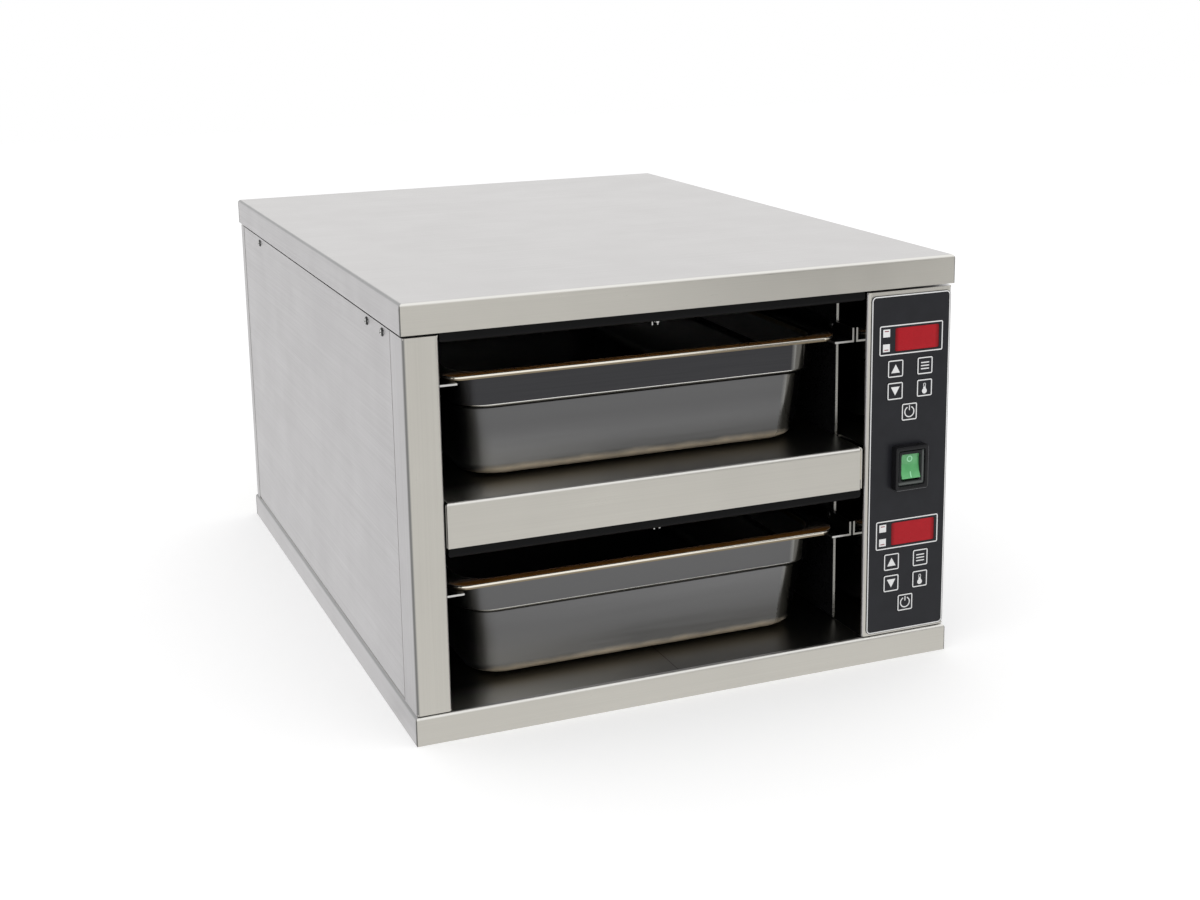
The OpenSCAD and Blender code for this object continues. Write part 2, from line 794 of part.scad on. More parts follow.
pan_wall_x = rim_w + throat_lean + shoulder_step;
pan_face = concat(
    [[0, -rim_drop]],
    turn(rim_r, -rim_r, rim_r, 180, 90, 3),
    turn(rim_w - throat_r, -throat_r, throat_r, 90, 0, 3),
    [[rim_w + throat_lean, -shoulder_depth], [pan_wall_x, -shoulder_depth - shoulder_step * shoulder_slope]],
    turn(pan_wall_x + wall_draft + pan_base_r, -pan_depth + pan_t + pan_base_r, pan_base_r,
        180, 270, 5)
);

function pan_tangent(i) = let (last = len(pan_face) - 1,
    d = pan_face[min(i + 1, last)] - pan_face[max(i - 1, 0)]) d / norm(d);
pan_back = [for (i = [0 : len(pan_face) - 1]) let (d = i == 0 ? [0, 1]
    : i == len(pan_face) - 1 ? [1, 0] : pan_tangent(i)) pan_face[i] + pan_t * [d[1], -d[0]]];
pan_profile = concat([for (i = [len(pan_back) - 1 : -1 : 0]) pan_back[i]], pan_face);

function pan_corner(inset) = inset < rim_w
    ? rim_corner + (wall_corner - rim_corner) * inset / rim_w : wall_corner;

corner_steps = 6;
function pan_ring(p) = let (r = pan_corner(p[0]), hw = pan_w / 2 - p[0] - r, hl = pan_l / 2 - p[0] - r)
    [for (c = [0 : 3], i = [0 : corner_steps]) let (a = 90 * c + 90 * i / corner_steps)
        [(c == 0 || c == 3 ? hw : -hw) + r * cos(a), (c < 2 ? hl : -hl) + r * sin(a), p[1]]];

module pan(level) {
    n = 4 * (corner_steps + 1);
    last = len(pan_profile) - 1;
    points = [for (p = pan_profile) each pan_ring(p)];
    sides = [for (k = [0 : last - 1], i = [0 : n - 1]) let (j = (i + 1) % n)
        [k * n + i, (k + 1) * n + i, (k + 1) * n + j, k * n + j]];
    ends = [[for (i = [0 : n - 1]) i], [for (i = [n - 1 : -1 : 0]) last * n + i]];
    color("darkgray") translate([bay_x, pan_y, rim_z[level]]) polyhedron(points, concat(sides, ends));
}

module upper_pan() pan(1);
module lower_pan() pan(0);

// Heaters

module heater_tray(level) {
    w = tray_x1[level] - tray_x0[level];
    d = tray_y1 - tray_y0;
    color([0.1, 0.1, 0.11])
        translate([(tray_x0[level] + tray_x1[level]) / 2, tray_y, tray_z[level] + heater_h])
            mirror([0, 0, 1]) folded_tray(w, d, heater_h, heater_t);
}

module upper_heater_tray() heater_tray(1);
module lower_heater_tray() heater_tray(0);

// Tubular element: straight runs joined by half rings, both ends at the back
module heating_element(level) {
    r = element_d / 2;
    bend_r = element_pitch / 2;
    collar_l = 8;
    z = tray_z[level] + heater_t + r + fit;
    color("rosybrown") translate([bay_x, tray_y, z]) {
        for (i = [0 : element_runs - 1]) {
            x = (i - (element_runs - 1) / 2) * element_pitch;
            is_end = i == 0 || i == element_runs - 1;
            tail = is_end ? element_tail : 0;
            translate([x, -element_end, 0]) rotate([-90, 0, 0]) cylinder(r = r, h = 2 * element_end + tail);
            if (is_end) translate([x, element_end + tail - collar_l, 0]) rotate([-90, 0, 0]) {
                cylinder(r = r + fit / 2, h = collar_l);
                cylinder(r = r / 3, h = 2 * collar_l);
            }
            if (i < element_runs - 1) {
                forward = i % 2 == 0;
                translate([x + bend_r, forward ? -element_end : element_end, 0])
                    rotate([0, 0, forward ? 180 : 0]) rotate_extrude(angle = 180)
                        translate([bend_r, 0]) circle(r);
            }
        }
    }
}

module upper_heating_element() heating_element(1);
module lower_heating_element() heating_element(0);

// Straps over the elements, each on two posts between the runs
module element_straps() {
    strap_half = element_pitch * (element_runs - 1) / 2 + element_d;
    post_x = element_pitch * (element_runs / 2 - 1);
    color("lightgray") for (z = tray_z, y = [tray_y - strap_y, tray_y + strap_y]) {
        plate_z = z + heater_t;
        strap_z = plate_z + element_d + 2 * fit;
        slab(bay_x - strap_half, bay_x + strap_half, y - strap_w / 2, y + strap_w / 2,
            strap_z, strap_z + strap_t);
        for (s = [-1, 1]) translate([bay_x + s * post_x, y, plate_z])
            cylinder(r = strap_w / 4, h = strap_z - plate_z + strap_t / 2);
    }
}

// Disc cut-out on the heater tray, between two runs, with a pair of blades
module cutout(level) {
    blade = [1, 6.3, 4];
    color("ivory") translate([bay_x + element_pitch, tray_y, tray_z[level] + heater_t]) {
        cylinder(d = cutout_d, h = cutout_h);
        for (s = [-1, 1]) translate([s * cutout_d / 4, 0, cutout_h + blade[2] / 2 - eps])
            cube(blade, center = true);
    }
}

module upper_cutout() cutout(1);
module lower_cutout() cutout(0);

function probe_axis(level) = tray_z[level] - fit - probe_d / 2;

// Air probe: a thin rod with a round tip, under the heater tray at the bay's middle
module probe(level) {
    y0 = y_front + probe_recess - clip_l;
    color("silver") translate([bay_x, y0 + probe_d / 2, probe_axis(level)]) {
        rotate([-90, 0, 0]) cylinder(d = probe_d, h = probe_l);
        sphere(d = probe_d);
    }
}

module upper_probe() probe(1);
module lower_probe() probe(0);

// Two-legged clips that hold the probes up against the trays
module probe_clips() {
    half = probe_d / 2 + fit;
    color("silver") for (level = [0, 1])
        along_y(y_front + probe_recess, y_front + probe_recess + clip_l)
            translate([bay_x, tray_z[level] - fit / 2]) for (s = [-1, 1]) {
                leg_x = s > 0 ? half : -half - clip_t;
                span(leg_x, -probe_d - 2 * clip_t, leg_x + clip_t, 0);
            }
}

// Insulation boards

module tray_board(level, top) {
    color("khaki") slab(tray_x0[level], tray_x1[level], tray_y0, tray_y1,
        tray_z[level] + heater_h, top - fold_r);
}

module top_insulation() tray_board(1, cabinet_h);

// The shelf's board has pockets for the rivet heads
module shelf_insulation() {
    color("khaki") difference() {
        tray_board(0, shelf_z1);
        for (left = [true, false]) liner_rivet_places(left) translate([-rivet_head_h - fit, 0, 0])
            rotate([0, 90, 0]) cylinder(r = rivet_head_r + fit, h = rivet_l);
    }
}

// The side boards have holes for the rivets' tails
module side_board(left, x0, x1) {
    color("khaki") difference() {
        slab(x0, x1, skin_front + bay_return + fit, rear_y1, base_h + fold_r, z_cap - lip_h - fit);
        liner_rivet_places(left) rivet_hole();
    }
}

module left_insulation() side_board(true, skin_left + sheet_t + fit, bay_x0);
module right_insulation() side_board(false, bay_x1, bay_x1 + right_board_t);

module rear_insulation() {
    color("khaki") slab(bay_x0, bay_x1, rear_y1 + fit, skin_back - sheet_t - fit,
        base_h + fold_r, z_cap - lip_h - fit);
}

// Controls

module control_overlay() {
    color([0.17, 0.17, 0.19]) along_y(overlay_y, skin_front) difference() {
        round_rect(overlay_x0, overlay_z0, overlay_x1, overlay_z1, overlay_r);
        control_cutouts(slip);
    }
}

module display_lens(level) {
    color([0.7, 0.14, 0.17, 0.9]) along_y(overlay_y + slip, panel_back)
        middle_rect(control_x + display_x, display_z[level], display_w, display_h, key_r);
}

module upper_display_lens() display_lens(1);
module lower_display_lens() display_lens(0);

// A key: a pad in the overlay, with a stem that runs back into its switch
module key(level, index) {
    p = key_places[index];
    x = control_x + p[0];
    z = display_z[level] + p[1];
    color([0.18, 0.18, 0.2]) {
        along_y(overlay_y - key_proud, skin_front) middle_rect(x, z, key_s, key_s, key_r);
        translate([x, skin_front, z]) rotate([-90, 0, 0])
            cylinder(d = key_stem_d, h = stem_end - skin_front);
    }
}

module upper_key_up() key(1, 0);
module upper_key_set() key(1, 1);
module upper_key_down() key(1, 2);
module upper_key_probe() key(1, 3);
module upper_key_power() key(1, 4);
module lower_key_up() key(0, 0);
module lower_key_set() key(0, 1);
module lower_key_down() key(0, 2);
module lower_key_probe() key(0, 3);
module lower_key_power() key(0, 4);

// Circuit board with its display block and a small switch behind every key
module control_board(level) {
    z = display_z[level];
    color("seagreen") difference() {
        union() {
            along_y(board_y, board_y + board_t)
                round_rect(control_x - board_w / 2, z - board_bottom, control_x + board_w / 2,
                    z + board_top, key_r);
            along_y(panel_back, board_y)
                middle_rect(control_x + display_x, z, display_w - 2 * slip, display_h - 2 * slip, key_r);
            for (p = key_places) along_y(tact_y, board_y)
                middle_rect(control_x + p[0], z + p[1], tact_s, tact_s, key_r);
        }
        for (p = key_places) translate([control_x + p[0], tact_y - cut, z + p[1]]) rotate([-90, 0, 0])
            cylinder(d = key_stem_d + 2 * running, h = stem_pocket + cut);
    }
}

module upper_control_board() control_board(1);
module lower_control_board() control_board(0);

module board_spacers() {
    inset = spacer_d / 2 + spacer_inset;
    corner_x = board_w / 2 - inset;
    color("goldenrod") for (z = display_z, sx = [-1, 1], dz = [board_top - inset, inset - board_bottom])
        translate([control_x + sx * corner_x, panel_back, z + dz]) rotate([-90, 0, 0])
            cylinder(d = spacer_d, h = board_gap);
}

// Power switch

module switch_guard() {
    color([0.08, 0.08, 0.09]) along_y(overlay_y - guard_d, overlay_y) difference() {
        middle_rect(control_x, switch_z, guard_w, guard_h, guard_r);
        middle_rect(control_x, switch_z, body_w + 2 * slip, body_h + 2 * slip, key_r);
    }
}

module switch_body() {
    blade = [6.3, 9, 0.8];
    color([0.2, 0.2, 0.21]) difference() {
        union() {
            along_y(body_y0, body_y1) middle_rect(control_x, switch_z, body_w, body_h, key_r);
            for (s = [-1, 0, 1])
                translate([control_x, body_y1 + blade[1] / 2 - eps, switch_z + s * rocker_h / 3])
                    cube(blade, center = true);
        }
        along_y(body_y0 - cut, pocket_y1) middle_rect(control_x, switch_z, pocket_w, pocket_h, key_r);
        translate([control_x, pivot_y, switch_z]) rotate([0, 90, 0])
            cylinder(d = pivot_d + 2 * running, h = body_w + 2 * cut, center = true);
    }
}

// Rocker: a dished face over a wedge, on two pivots, tilted to its off position
module switch_rocker() {
    half = rocker_h / 2;
    dish_r = (half * half + rocker_dish * rocker_dish) / (2 * rocker_dish);
    color([0.35, 0.68, 0.42]) translate([control_x, pivot_y, switch_z]) rotate([-rocker_tilt, 0, 0]) {
        along_x(-rocker_w / 2, rocker_w / 2) difference() {
            polygon([[-rocker_front, -half], [rocker_heel, -half], [rocker_back, -half / 4],
                [rocker_back, half / 4], [rocker_heel, half], [-rocker_front, half]]);
            translate([-rocker_front - dish_r + rocker_dish, 0]) circle(dish_r);
        }
        rotate([0, 90, 0]) cylinder(d = pivot_d, h = pocket_w + 2 * pivot_bite, center = true);
    }
}

// Electrics behind the controls

module electrics_plate() {
    color("lightgray") {
        slab(plate_x, plate_face, plate_y0, plate_y0 + plate_l, base_h, base_h + plate_h);
        slab(plate_x, plate_x + hem_w, plate_y0, plate_y0 + plate_l, base_h, base_h + sheet_t);
    }
}

// Solid-state relays: a metal foot, a moulded body and four screw terminals
module heater_relays() {
    well_depth = relay_foot_t;
    body_z = relay_h / 2 - relay_foot_edge;
    color("dimgray") for (y = relay_y) translate([plate_face, y, relay_z]) {
        slab(0, relay_foot_t, -relay_w / 2, relay_w / 2, -relay_h / 2, relay_h / 2);
        difference() {
            slab(relay_foot_t - eps, relay_d, -relay_w / 2, relay_w / 2, -body_z, body_z);
            for (sy = [-1, 1], sz = [-1, 1])
                translate([relay_d - well_depth, sy * relay_w / 4, sz * relay_h / 4])
                    rotate([0, 90, 0]) cylinder(r = relay_well_r, h = well_depth + cut);
        }
    }
}

module terminal_block() {
    l = terminal_ways * terminal_pitch;
    well_r = terminal_pitch * 0.3;
    color("ivory") translate([plate_face, terminal_y, base_h + terminal_height]) difference() {
        slab(0, terminal_d, -l / 2, l / 2, -terminal_h / 2, terminal_h / 2);
        for (i = [0 : terminal_ways - 1], s = [-1, 1])
            translate([terminal_d - terminal_well, (i + 0.5) * terminal_pitch - l / 2, s * terminal_h / 4])
                rotate([0, 90, 0]) cylinder(r = well_r, h = terminal_well + cut);
    }
}

// A nut with six flats along +Y
module hex_nut(flats, h) {
    rotate([-90, 0, 0]) cylinder(d = flats / cos(30), h = h, $fn = 6);
}

module cable_gland() {
    cap_r = gland_flats / 2 - 0.5;
    color([0.1, 0.1, 0.11]) translate([gland_x, skin_back, gland_center_z]) difference() {
        union() {
            translate([0, -sheet_t - gland_inside, 0]) rotate([-90, 0, 0])
                cylinder(r = gland_thread_r, h = sheet_t + gland_inside + eps);
            hex_nut(gland_flats, gland_flange);
            rotate([-90, 0, 0]) rotate_extrude() difference() {
                square([cap_r, gland_out]);
                translate([cap_r, gland_out]) circle(gland_neck_r);
            }
        }
        translate([0, -sheet_t - gland_inside - cut, 0]) rotate([-90, 0, 0])
            cylinder(r = gland_bore_r, h = sheet_t + gland_inside + gland_out + 2 * cut);
    }
}

module gland_locknut() {
    color([0.1, 0.1, 0.11]) translate([gland_x, skin_back - sheet_t - locknut_t, gland_center_z])
        difference() {
            hex_nut(gland_flats, locknut_t);
            translate([0, -cut, 0]) rotate([-90, 0, 0])
                cylinder(r = gland_thread_r + running, h = locknut_t + 2 * cut);
        }
}

module case_screws() {
    color("silver") {
        side_screw_places() dome_fastener(screw_head_r, screw_head_h, screw_r, screw_l);
        mirror([1, 0, 0]) side_screw_places() dome_fastener(screw_head_r, screw_head_h, screw_r, screw_l);
        rear_screw_places() dome_fastener(screw_head_r, screw_head_h, screw_r, screw_l);
    }
}

base_plate();
base_tray();
base_insulation();
top_cover();
left_side_panel();
right_side_panel();
rear_panel();
front_pillar();
control_fascia();
shelf_tray();
left_liner();
right_liner();
rear_liner();
upper_heater_tray();
lower_heater_tray();
upper_heating_element();
lower_heating_element();
element_straps();
top_insulation();
shelf_insulation();
left_insulation();
right_insulation();
rear_insulation();
upper_left_runner();
upper_right_runner();
lower_left_runner();
lower_right_runner();
liner_rivets();
upper_probe();
lower_probe();
probe_clips();
upper_cutout();
lower_cutout();
upper_pan();
lower_pan();
control_overlay();
upper_display_lens();
lower_display_lens();
upper_key_up();
upper_key_set();
upper_key_down();
upper_key_probe();
upper_key_power();
lower_key_up();
lower_key_set();
lower_key_down();
lower_key_probe();
lower_key_power();
upper_control_board();
lower_control_board();
board_spacers();
switch_guard();
switch_body();
switch_rocker();
electrics_plate();
heater_relays();
terminal_block();
cable_gland();
gland_locknut();
case_screws();
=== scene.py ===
"""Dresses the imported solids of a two-bay heated holding bin: its finishes, prints and small parts."""

import json
import math

import bmesh
import bpy
from bpy.props import FloatProperty, FloatVectorProperty, IntProperty, PointerProperty
from bpy.types import Operator, Panel, PropertyGroup
from mathutils import Matrix, Vector


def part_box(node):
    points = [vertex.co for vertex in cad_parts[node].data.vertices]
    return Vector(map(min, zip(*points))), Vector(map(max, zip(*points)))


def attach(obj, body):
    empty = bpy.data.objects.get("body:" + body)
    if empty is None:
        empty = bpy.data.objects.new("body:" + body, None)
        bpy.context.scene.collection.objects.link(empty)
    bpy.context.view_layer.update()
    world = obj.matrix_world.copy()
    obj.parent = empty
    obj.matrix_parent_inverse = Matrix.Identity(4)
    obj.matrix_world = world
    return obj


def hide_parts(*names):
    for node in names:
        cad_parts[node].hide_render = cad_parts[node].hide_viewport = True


bl_info = {
    "name": "Heated Holding Bin",
    "version": (1, 0, 0),
    "blender": (4, 5, 0),
    "location": "3D View > Sidebar > Holding Bin",
    "description": "Finishes, prints and small parts of a two-bay heated holding bin",
    "category": "Object",
}

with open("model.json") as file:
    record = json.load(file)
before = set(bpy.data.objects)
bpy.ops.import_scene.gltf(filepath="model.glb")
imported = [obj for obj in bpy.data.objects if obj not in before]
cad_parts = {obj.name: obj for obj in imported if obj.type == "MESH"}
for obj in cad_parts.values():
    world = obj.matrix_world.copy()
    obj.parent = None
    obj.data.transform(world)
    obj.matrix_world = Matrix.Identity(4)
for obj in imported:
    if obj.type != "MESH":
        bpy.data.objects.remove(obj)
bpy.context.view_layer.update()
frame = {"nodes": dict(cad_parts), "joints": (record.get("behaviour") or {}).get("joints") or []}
NODES = frame["nodes"]
MM = 0.001
LEVELS = ("upper", "lower")
KEY_SIGNS = ("up", "set", "down", "probe", "power")
# Parts of a normal between which a sheet counts as turned to a side, and as bent
FACING = (0.5, 0.9)
BENT = (0.25, 0.58)


def length(name, description, default):
    """A size in metres, given in millimetres."""
    return FloatProperty(
        name=name, description=description, default=default * MM, precision=5, unit="LENGTH"
    )


def angle(name, description, default):
    """An angle, given in degrees."""
    return FloatProperty(
        name=name, description=description, default=math.radians(default), subtype="ANGLE"
    )


def share(name, description, default):
    """A value from 0 to 1."""
    return FloatProperty(
        name=name, description=description, default=default, min=0, max=1, subtype="FACTOR"
    )


def colour(name, description, default):
    """A scene-linear colour."""
    return FloatVectorProperty(
        name=name, description=description, default=default, min=0, max=1, size=3, subtype="COLOR"
    )


# Sizes and colours that a user would change


class BinStage(PropertyGroup):
    """Camera, floor and light."""

    azimuth: angle("Azimuth", "Turn of the camera to the left of the front", 21.81)
    elevation: angle("Elevation", "Height of the camera above the horizon", 12.44)
    roll: angle("Roll", "Tilt of the camera about its own axis", -0.925)
    distance: length("Distance", "From the aim point to the camera", 1584.9)
    aim_height: length("Aim height", "Height of the aim point on the object", 156)
    aim_right: length("Aim right", "Shift of the aim point to the camera's right", 40.8)
    aim_up: length("Aim up", "Shift of the aim point along the camera's up", 65.1)
    lens: FloatProperty(name="Lens", description="Focal length in millimetres", default=51.93)
    shift_up: FloatProperty(name="Shift", description="Vertical lens shift", default=-0.0917)
    floor_size: length("Floor size", "Side of the floor", 9000)
    floor_colour: colour("Floor", "Colour of the floor", (0.86, 0.86, 0.86))
    floor_glow: share("Floor glow", "Brightness that the floor adds for the camera", 0.25)
    fill: share("Fill", "Strength of the even light from all round", 0.88)
    lamp_size: length("Lamp size", "Side of the square overhead lamp", 2600)
    lamp_height: length("Lamp height", "Height of the overhead lamp", 2600)
    lamp_left: length("Lamp left", "From the object's middle to the lamp, to the left", 600)
    lamp_front: length("Lamp front", "From the object's middle to the lamp, forward", 800)
    lamp_power: FloatProperty(name="Lamp", description="Lamp power", default=14, unit="POWER")
    card_x: length("Card place", "Grey card to the right, which only the metal reflects", 750)
    card_y: length("Card front", "From the object's middle forward to the card's middle", 1470)
    card_l: length("Card length", "Length of the grey card", 600)
    card_h: length("Card height", "Height of the grey card", 800)
    card_colour: colour("Card", "Colour of the grey card", (0.12, 0.12, 0.12))


class BinSteel(PropertyGroup):
    """The cabinet's sheets."""

    # front, side and top are painted light and shade: one steel, lighter or darker by the way a face turns
    # to the light.
    front: colour("Front", "Tint of sheets that face forward or back", (0.572, 0.553, 0.504))
    side: colour("Side", "Tint of sheets that face sideways", (0.500, 0.488, 0.493))
    top: colour("Top", "Tint of sheets that face up or down", (0.622, 0.609, 0.603))
    throat: colour("Throat", "Polished sheet beside the pans", (0.45, 0.44, 0.42))
    # Painted light on the sheet below the pans, at its front left.
    left_deck_light: colour("Left deck", "Sheet below the pans, at its front left", (0.66, 0.64, 0.585))
    # Painted shade on the sheet below the pans, from its front left towards its middle.
    deck: colour("Deck", "Sheet below the pans, at its front", (0.145, 0.14, 0.13))
    # Painted shade on the sheet below the pans, further into the bays.
    deep_deck_shade: colour("Deep deck", "Sheet below the pans, further in", (0.10, 0.097, 0.085))
    # Painted highlight along the front folds.
    fold: colour("Fold", "Front folds polished by handling", (0.84, 0.83, 0.79))
    # Painted shade along the folds at the sides.
    side_fold_shade: colour("Side fold", "Folds along the sides", (0.31, 0.31, 0.31))
    # Painted shade on the outer upright bends.
    corner: colour("Corner", "Outer upright bends", (0.21, 0.21, 0.205))
    # Painted shade in the open seams between folds.
    seam: colour("Seam", "Open seams between folds", (0.12, 0.12, 0.115))
    patch_tint: colour("Patch tint", "Tint in the soft patches", (0.25, 0.25, 0.26))
    line_tint: colour("Line tint", "Tint in the brush lines", (0.24, 0.24, 0.23))
    drift: share("Drift", "Depth of the soft patches", 0.04)
    line_depth: share("Line depth", "Depth of the brush lines' tint", 0.06)
    # Where the painted shade further into the bays begins.
    deck_depth: length("Deck depth", "From the bays' front to the deep deck's tint", 38)
    smooth: share("Smoothest", "Lowest roughness of the brushing", 0.30)
    rough: share("Roughest", "Highest roughness of the brushing", 0.40)
    deck_rough: share("Deck roughness", "Roughness of the sheet below the pans", 0.34)
    throat_rough: share("Throat roughness", "Roughness of the sheet beside the pans", 0.05)
    patch: FloatProperty(name="Patches", description="Patches in a metre", default=5)
    grain: FloatProperty(name="Grain", description="Brush lines in a metre", default=2200)


class BinColours(PropertyGroup):
    """The other finishes."""

    # Painted shade: the pans' walls darkened as the dark bays they reflect, lighter at their right ends,
    # and the upper pan darker than the lower.
    upper_wall: colour("Upper wall", "Wall of the upper pan", (0.137, 0.137, 0.138))
    upper_wall_right: colour("Upper wall, right", "Right end of that wall", (0.140, 0.140, 0.141))
    lower_wall: colour("Lower wall", "Wall of the lower pan", (0.160, 0.160, 0.161))
    lower_wall_right: colour("Lower wall, right", "Right end of that wall", (0.200, 0.200, 0.201))
    # Painted shade on the pans above their shoulders, darker on the upper pan.
    upper_collar: colour("Upper collar", "Upper pan above its shoulder", (0.048, 0.048, 0.051))
    lower_collar: colour("Lower collar", "Lower pan above its shoulder", (0.134, 0.134, 0.135))
    pan_inside: colour("Pan inside", "Inner faces of the pans", (0.40, 0.40, 0.395))
    # Painted highlight on the drawn corners.
    pan_corner: colour("Pan corner", "Drawn corners, burnished by the die", (0.25, 0.247, 0.235))
    # Painted highlight on the rolled edge.
    pan_rim: colour("Pan rim", "Rolled edge of the pans", (0.88, 0.84, 0.74))
    # A brown band below the rolled edge.
    pan_skirt: colour("Pan skirt", "Heat tint below the rolled edge", (0.26, 0.21, 0.14))
    # A brown band along the front of the rim's flat.
    pan_flange: colour("Pan flange", "Heat tint on the flat of the rim", (0.36, 0.155, 0.032))
    # Painted highlight on the shoulder's bend.
    pan_shoulder: colour("Pan shoulder", "Bright bend of the stacking shoulder", (0.88, 0.87, 0.84))
    # Painted reflection round the pans' bottoms, blotched darker with stains.
    pan_foot: colour("Pan foot", "Burnt tint round the pans' bottoms", (0.96, 0.82, 0.62))
    # Painted shade: the runners darkened as the shade inside the bays.
    runner: colour("Runner", "Sooted faces of the runners", (0.05, 0.05, 0.052))
    plain_steel: colour("Plain steel", "Mill-finish steel", (0.60, 0.60, 0.58))
    cut_steel: colour("Cut steel", "Bare front edges of the liners", (0.6, 0.6, 0.58))
    fastener: colour("Fastener", "Rivets", (0.36, 0.36, 0.36))
    screw: colour("Screw", "Tops of the screws' heads", (0.70, 0.70, 0.69))
    # Painted shade on the slopes of the screws' heads.
    screw_rim: colour("Screw rim", "Slopes of the screws' heads", (0.035, 0.035, 0.035))
    # Painted shade: the liners darkened as the shade inside the bays.
    liner_shade_black: colour("Black paint", "Liners of the bays", (0.006, 0.006, 0.0065))
    heater: colour("Heater", "Heater trays", (0.004, 0.004, 0.0042))
    film: colour("Film", "Control overlay", (0.011, 0.0115, 0.0145))
    ink: colour("Ink", "Printed lines and signs", (0.80, 0.80, 0.80))
    red: colour("Red", "Display windows", (0.45, 0.016, 0.024))
    red_ink: colour("Red ink", "Marks on the indicators", (0.22, 0.012, 0.02))
    guard: colour("Guard", "Switch guard", (0.006, 0.006, 0.007))
    # Painted highlight on the guard's right and lower edges.
    edge_highlight: colour("Worn edge", "Pale edges of the guard", (0.26, 0.26, 0.27))
    # Painted highlight on the clear rim's right and lower edges.
    clear_edge_highlight: colour("Clear edge", "Pale edges of the clear rim", (0.105, 0.115, 0.11))
    boot: colour("Boot", "Clear rim round the rocker", (0.009, 0.010, 0.011))
    green: colour("Green", "Rocker", (0.115, 0.46, 0.165))
    green_ink: colour("Rocker marks", "Raised marks on the rocker", (0.32, 0.72, 0.42))
    board: colour("Board", "Circuit boards", (0.02, 0.16, 0.07))
    wool: colour("Insulation", "Fibre boards", (0.70, 0.63, 0.44))
    sheath: colour("Sheath", "Heating elements", (0.26, 0.20, 0.15))
    ceramic: colour("Ceramic", "Cut-outs and terminals", (0.80, 0.76, 0.66))
    brass: colour("Brass", "Board spacers", (0.72, 0.53, 0.22))
    plastic: colour("Plastic", "Relays, switch body and gland", (0.02, 0.02, 0.022))


class BinPan(PropertyGroup):
    """Profile of a food pan."""

    wall: length("Wall", "Thickness of the sheet", 0.8)
    rim: length("Rim", "Width of the rim", 12.5)
    rim_drop: length("Rim drop", "Turn-down at the rim's edge", 3.2)
    rim_bend: length("Rim bend", "Radius of the rim's edge", 1.4)
    throat: length("Throat", "Radius between rim and wall", 3)
    lean: length("Lean", "Lean of the wall above the shoulder", 0.6)
    shoulder_depth: length("Shoulder depth", "Depth of the stacking shoulder", 27.5)
    shoulder_step: length("Shoulder step", "Inward step of the shoulder", 4)
    shoulder_fall: length("Shoulder fall", "Height of the shoulder's slope", 2.8)
    draft: length("Draft", "Inward lean of the wall below the shoulder", 4)
    base_bend: length("Base bend", "Radius between wall and bottom", 9)
    rim_corner: length("Rim corner", "Corner radius of the rim", 15)
    wall_corner: length("Wall corner", "Corner radius of the wall", 26)
    corner_steps: IntProperty(name="Corner steps", description="Faces round a corner", default=16)


class BinPrint(PropertyGroup):
    """Printed lines and signs on the control column."""

    raise_by: length("Ink height", "Thickness of the ink", 0.05)
    line: length("Line", "Width of a printed line", 0.9)
    border_inset: length("Border inset", "From the overlay's edge to its line", 0.35)
    border_corner: length("Border corner", "Corner radius of the overlay's line", 3.7)
    frame_w: length("Frame width", "Outline round a display", 57.3)
    frame_h: length("Frame height", "Outline round a display", 23.8)
    frame_corner: length("Frame corner", "Corner radius of that outline", 1.5)
    frame_x: length("Frame offset", "Outline's middle, right of the column's middle", 0.6)
    lamp_s: length("Indicator", "Side of an indicator square", 6.2)
    lamp_x: length("Indicator offset", "Indicators' middle, left of the column's middle", 21.9)
    lamp_z: length("Indicator height", "Indicators' middles above and below the display's", 5.9)
    key_inset: length("Key line inset", "From a key's edge to its line", 0.15)
    key_corner: length("Key corner", "Corner radius of a key's line", 1.4)


class BinSwitch(PropertyGroup):
    """Power switch."""

    rocker_w: length("Rocker width", "Width of the rocker", 16.7)
    rocker_h: length("Rocker height", "Height of the rocker", 19.4)
    rocker_front: length("Rocker front", "From the pivot to the rocker's face", 5.5)
    rocker_heel: length("Rocker heel", "Depth of the rocker's ends behind the pivot", 1)
    rocker_back: length("Rocker back", "Depth of the rocker behind the pivot", 4)
    dish: length("Dish", "Hollow in the rocker's face", 1.7)
    tilt: angle("Tilt", "Turn of the rocker at rest", 9)
    pivot_r: length("Pivot", "Radius of the rocker's pivots", 1.5)
    pivot_l: length("Pivot length", "From the rocker's side to a pivot's end", 1.3)
    bevel: length("Bevel", "Rounding of the rocker's edges", 0.5)
    ring_r: length("Ring", "Radius of the off mark", 2.6)
    bar_l: length("Bar", "Length of the on mark", 4.8)
    mark_line: length("Mark line", "Width of the marks", 0.95)
    ring_z: length("Ring place", "From the rocker's middle up to the off mark", 5.9)
    bar_z: length("Bar place", "From the rocker's middle down to the on mark", 6.7)
    side_gap: length("Side gap", "Between the rocker's sides and the clear rim", 0.5)
    end_gap: length("End gap", "Between the rocker's ends and the clear rim", 1.5)
    boot_rise: length("Rim rise", "Height of the clear rim", 0.9)


class BinScrews(PropertyGroup):
    """Case screws."""

    cross_w: length("Cross width", "Width of the recess's slots", 0.9)
    cross_l: length("Cross length", "Length of the recess's slots", 3.6)
    cross_d: length("Cross depth", "Depth of the recess", 1)
    points: IntProperty(name="Points", description="Points round a screw", default=48)
    shank_r: length("Shank radius", "Radius of a screw's shank", 1.95)
    head_h: length("Head height", "Height of a screw's head", 2)


SETTINGS = {
    "bin_stage": BinStage,
    "bin_steel": BinSteel,
    "bin_colours": BinColours,
    "bin_pan": BinPan,
    "bin_print": BinPrint,
    "bin_switch": BinSwitch,
    "bin_screws": BinScrews,
}


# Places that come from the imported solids


def each_level(name):
    """Names of a piece that the upper and the lower level each have."""
    return [f"{level}_{name}" for level in LEVELS]


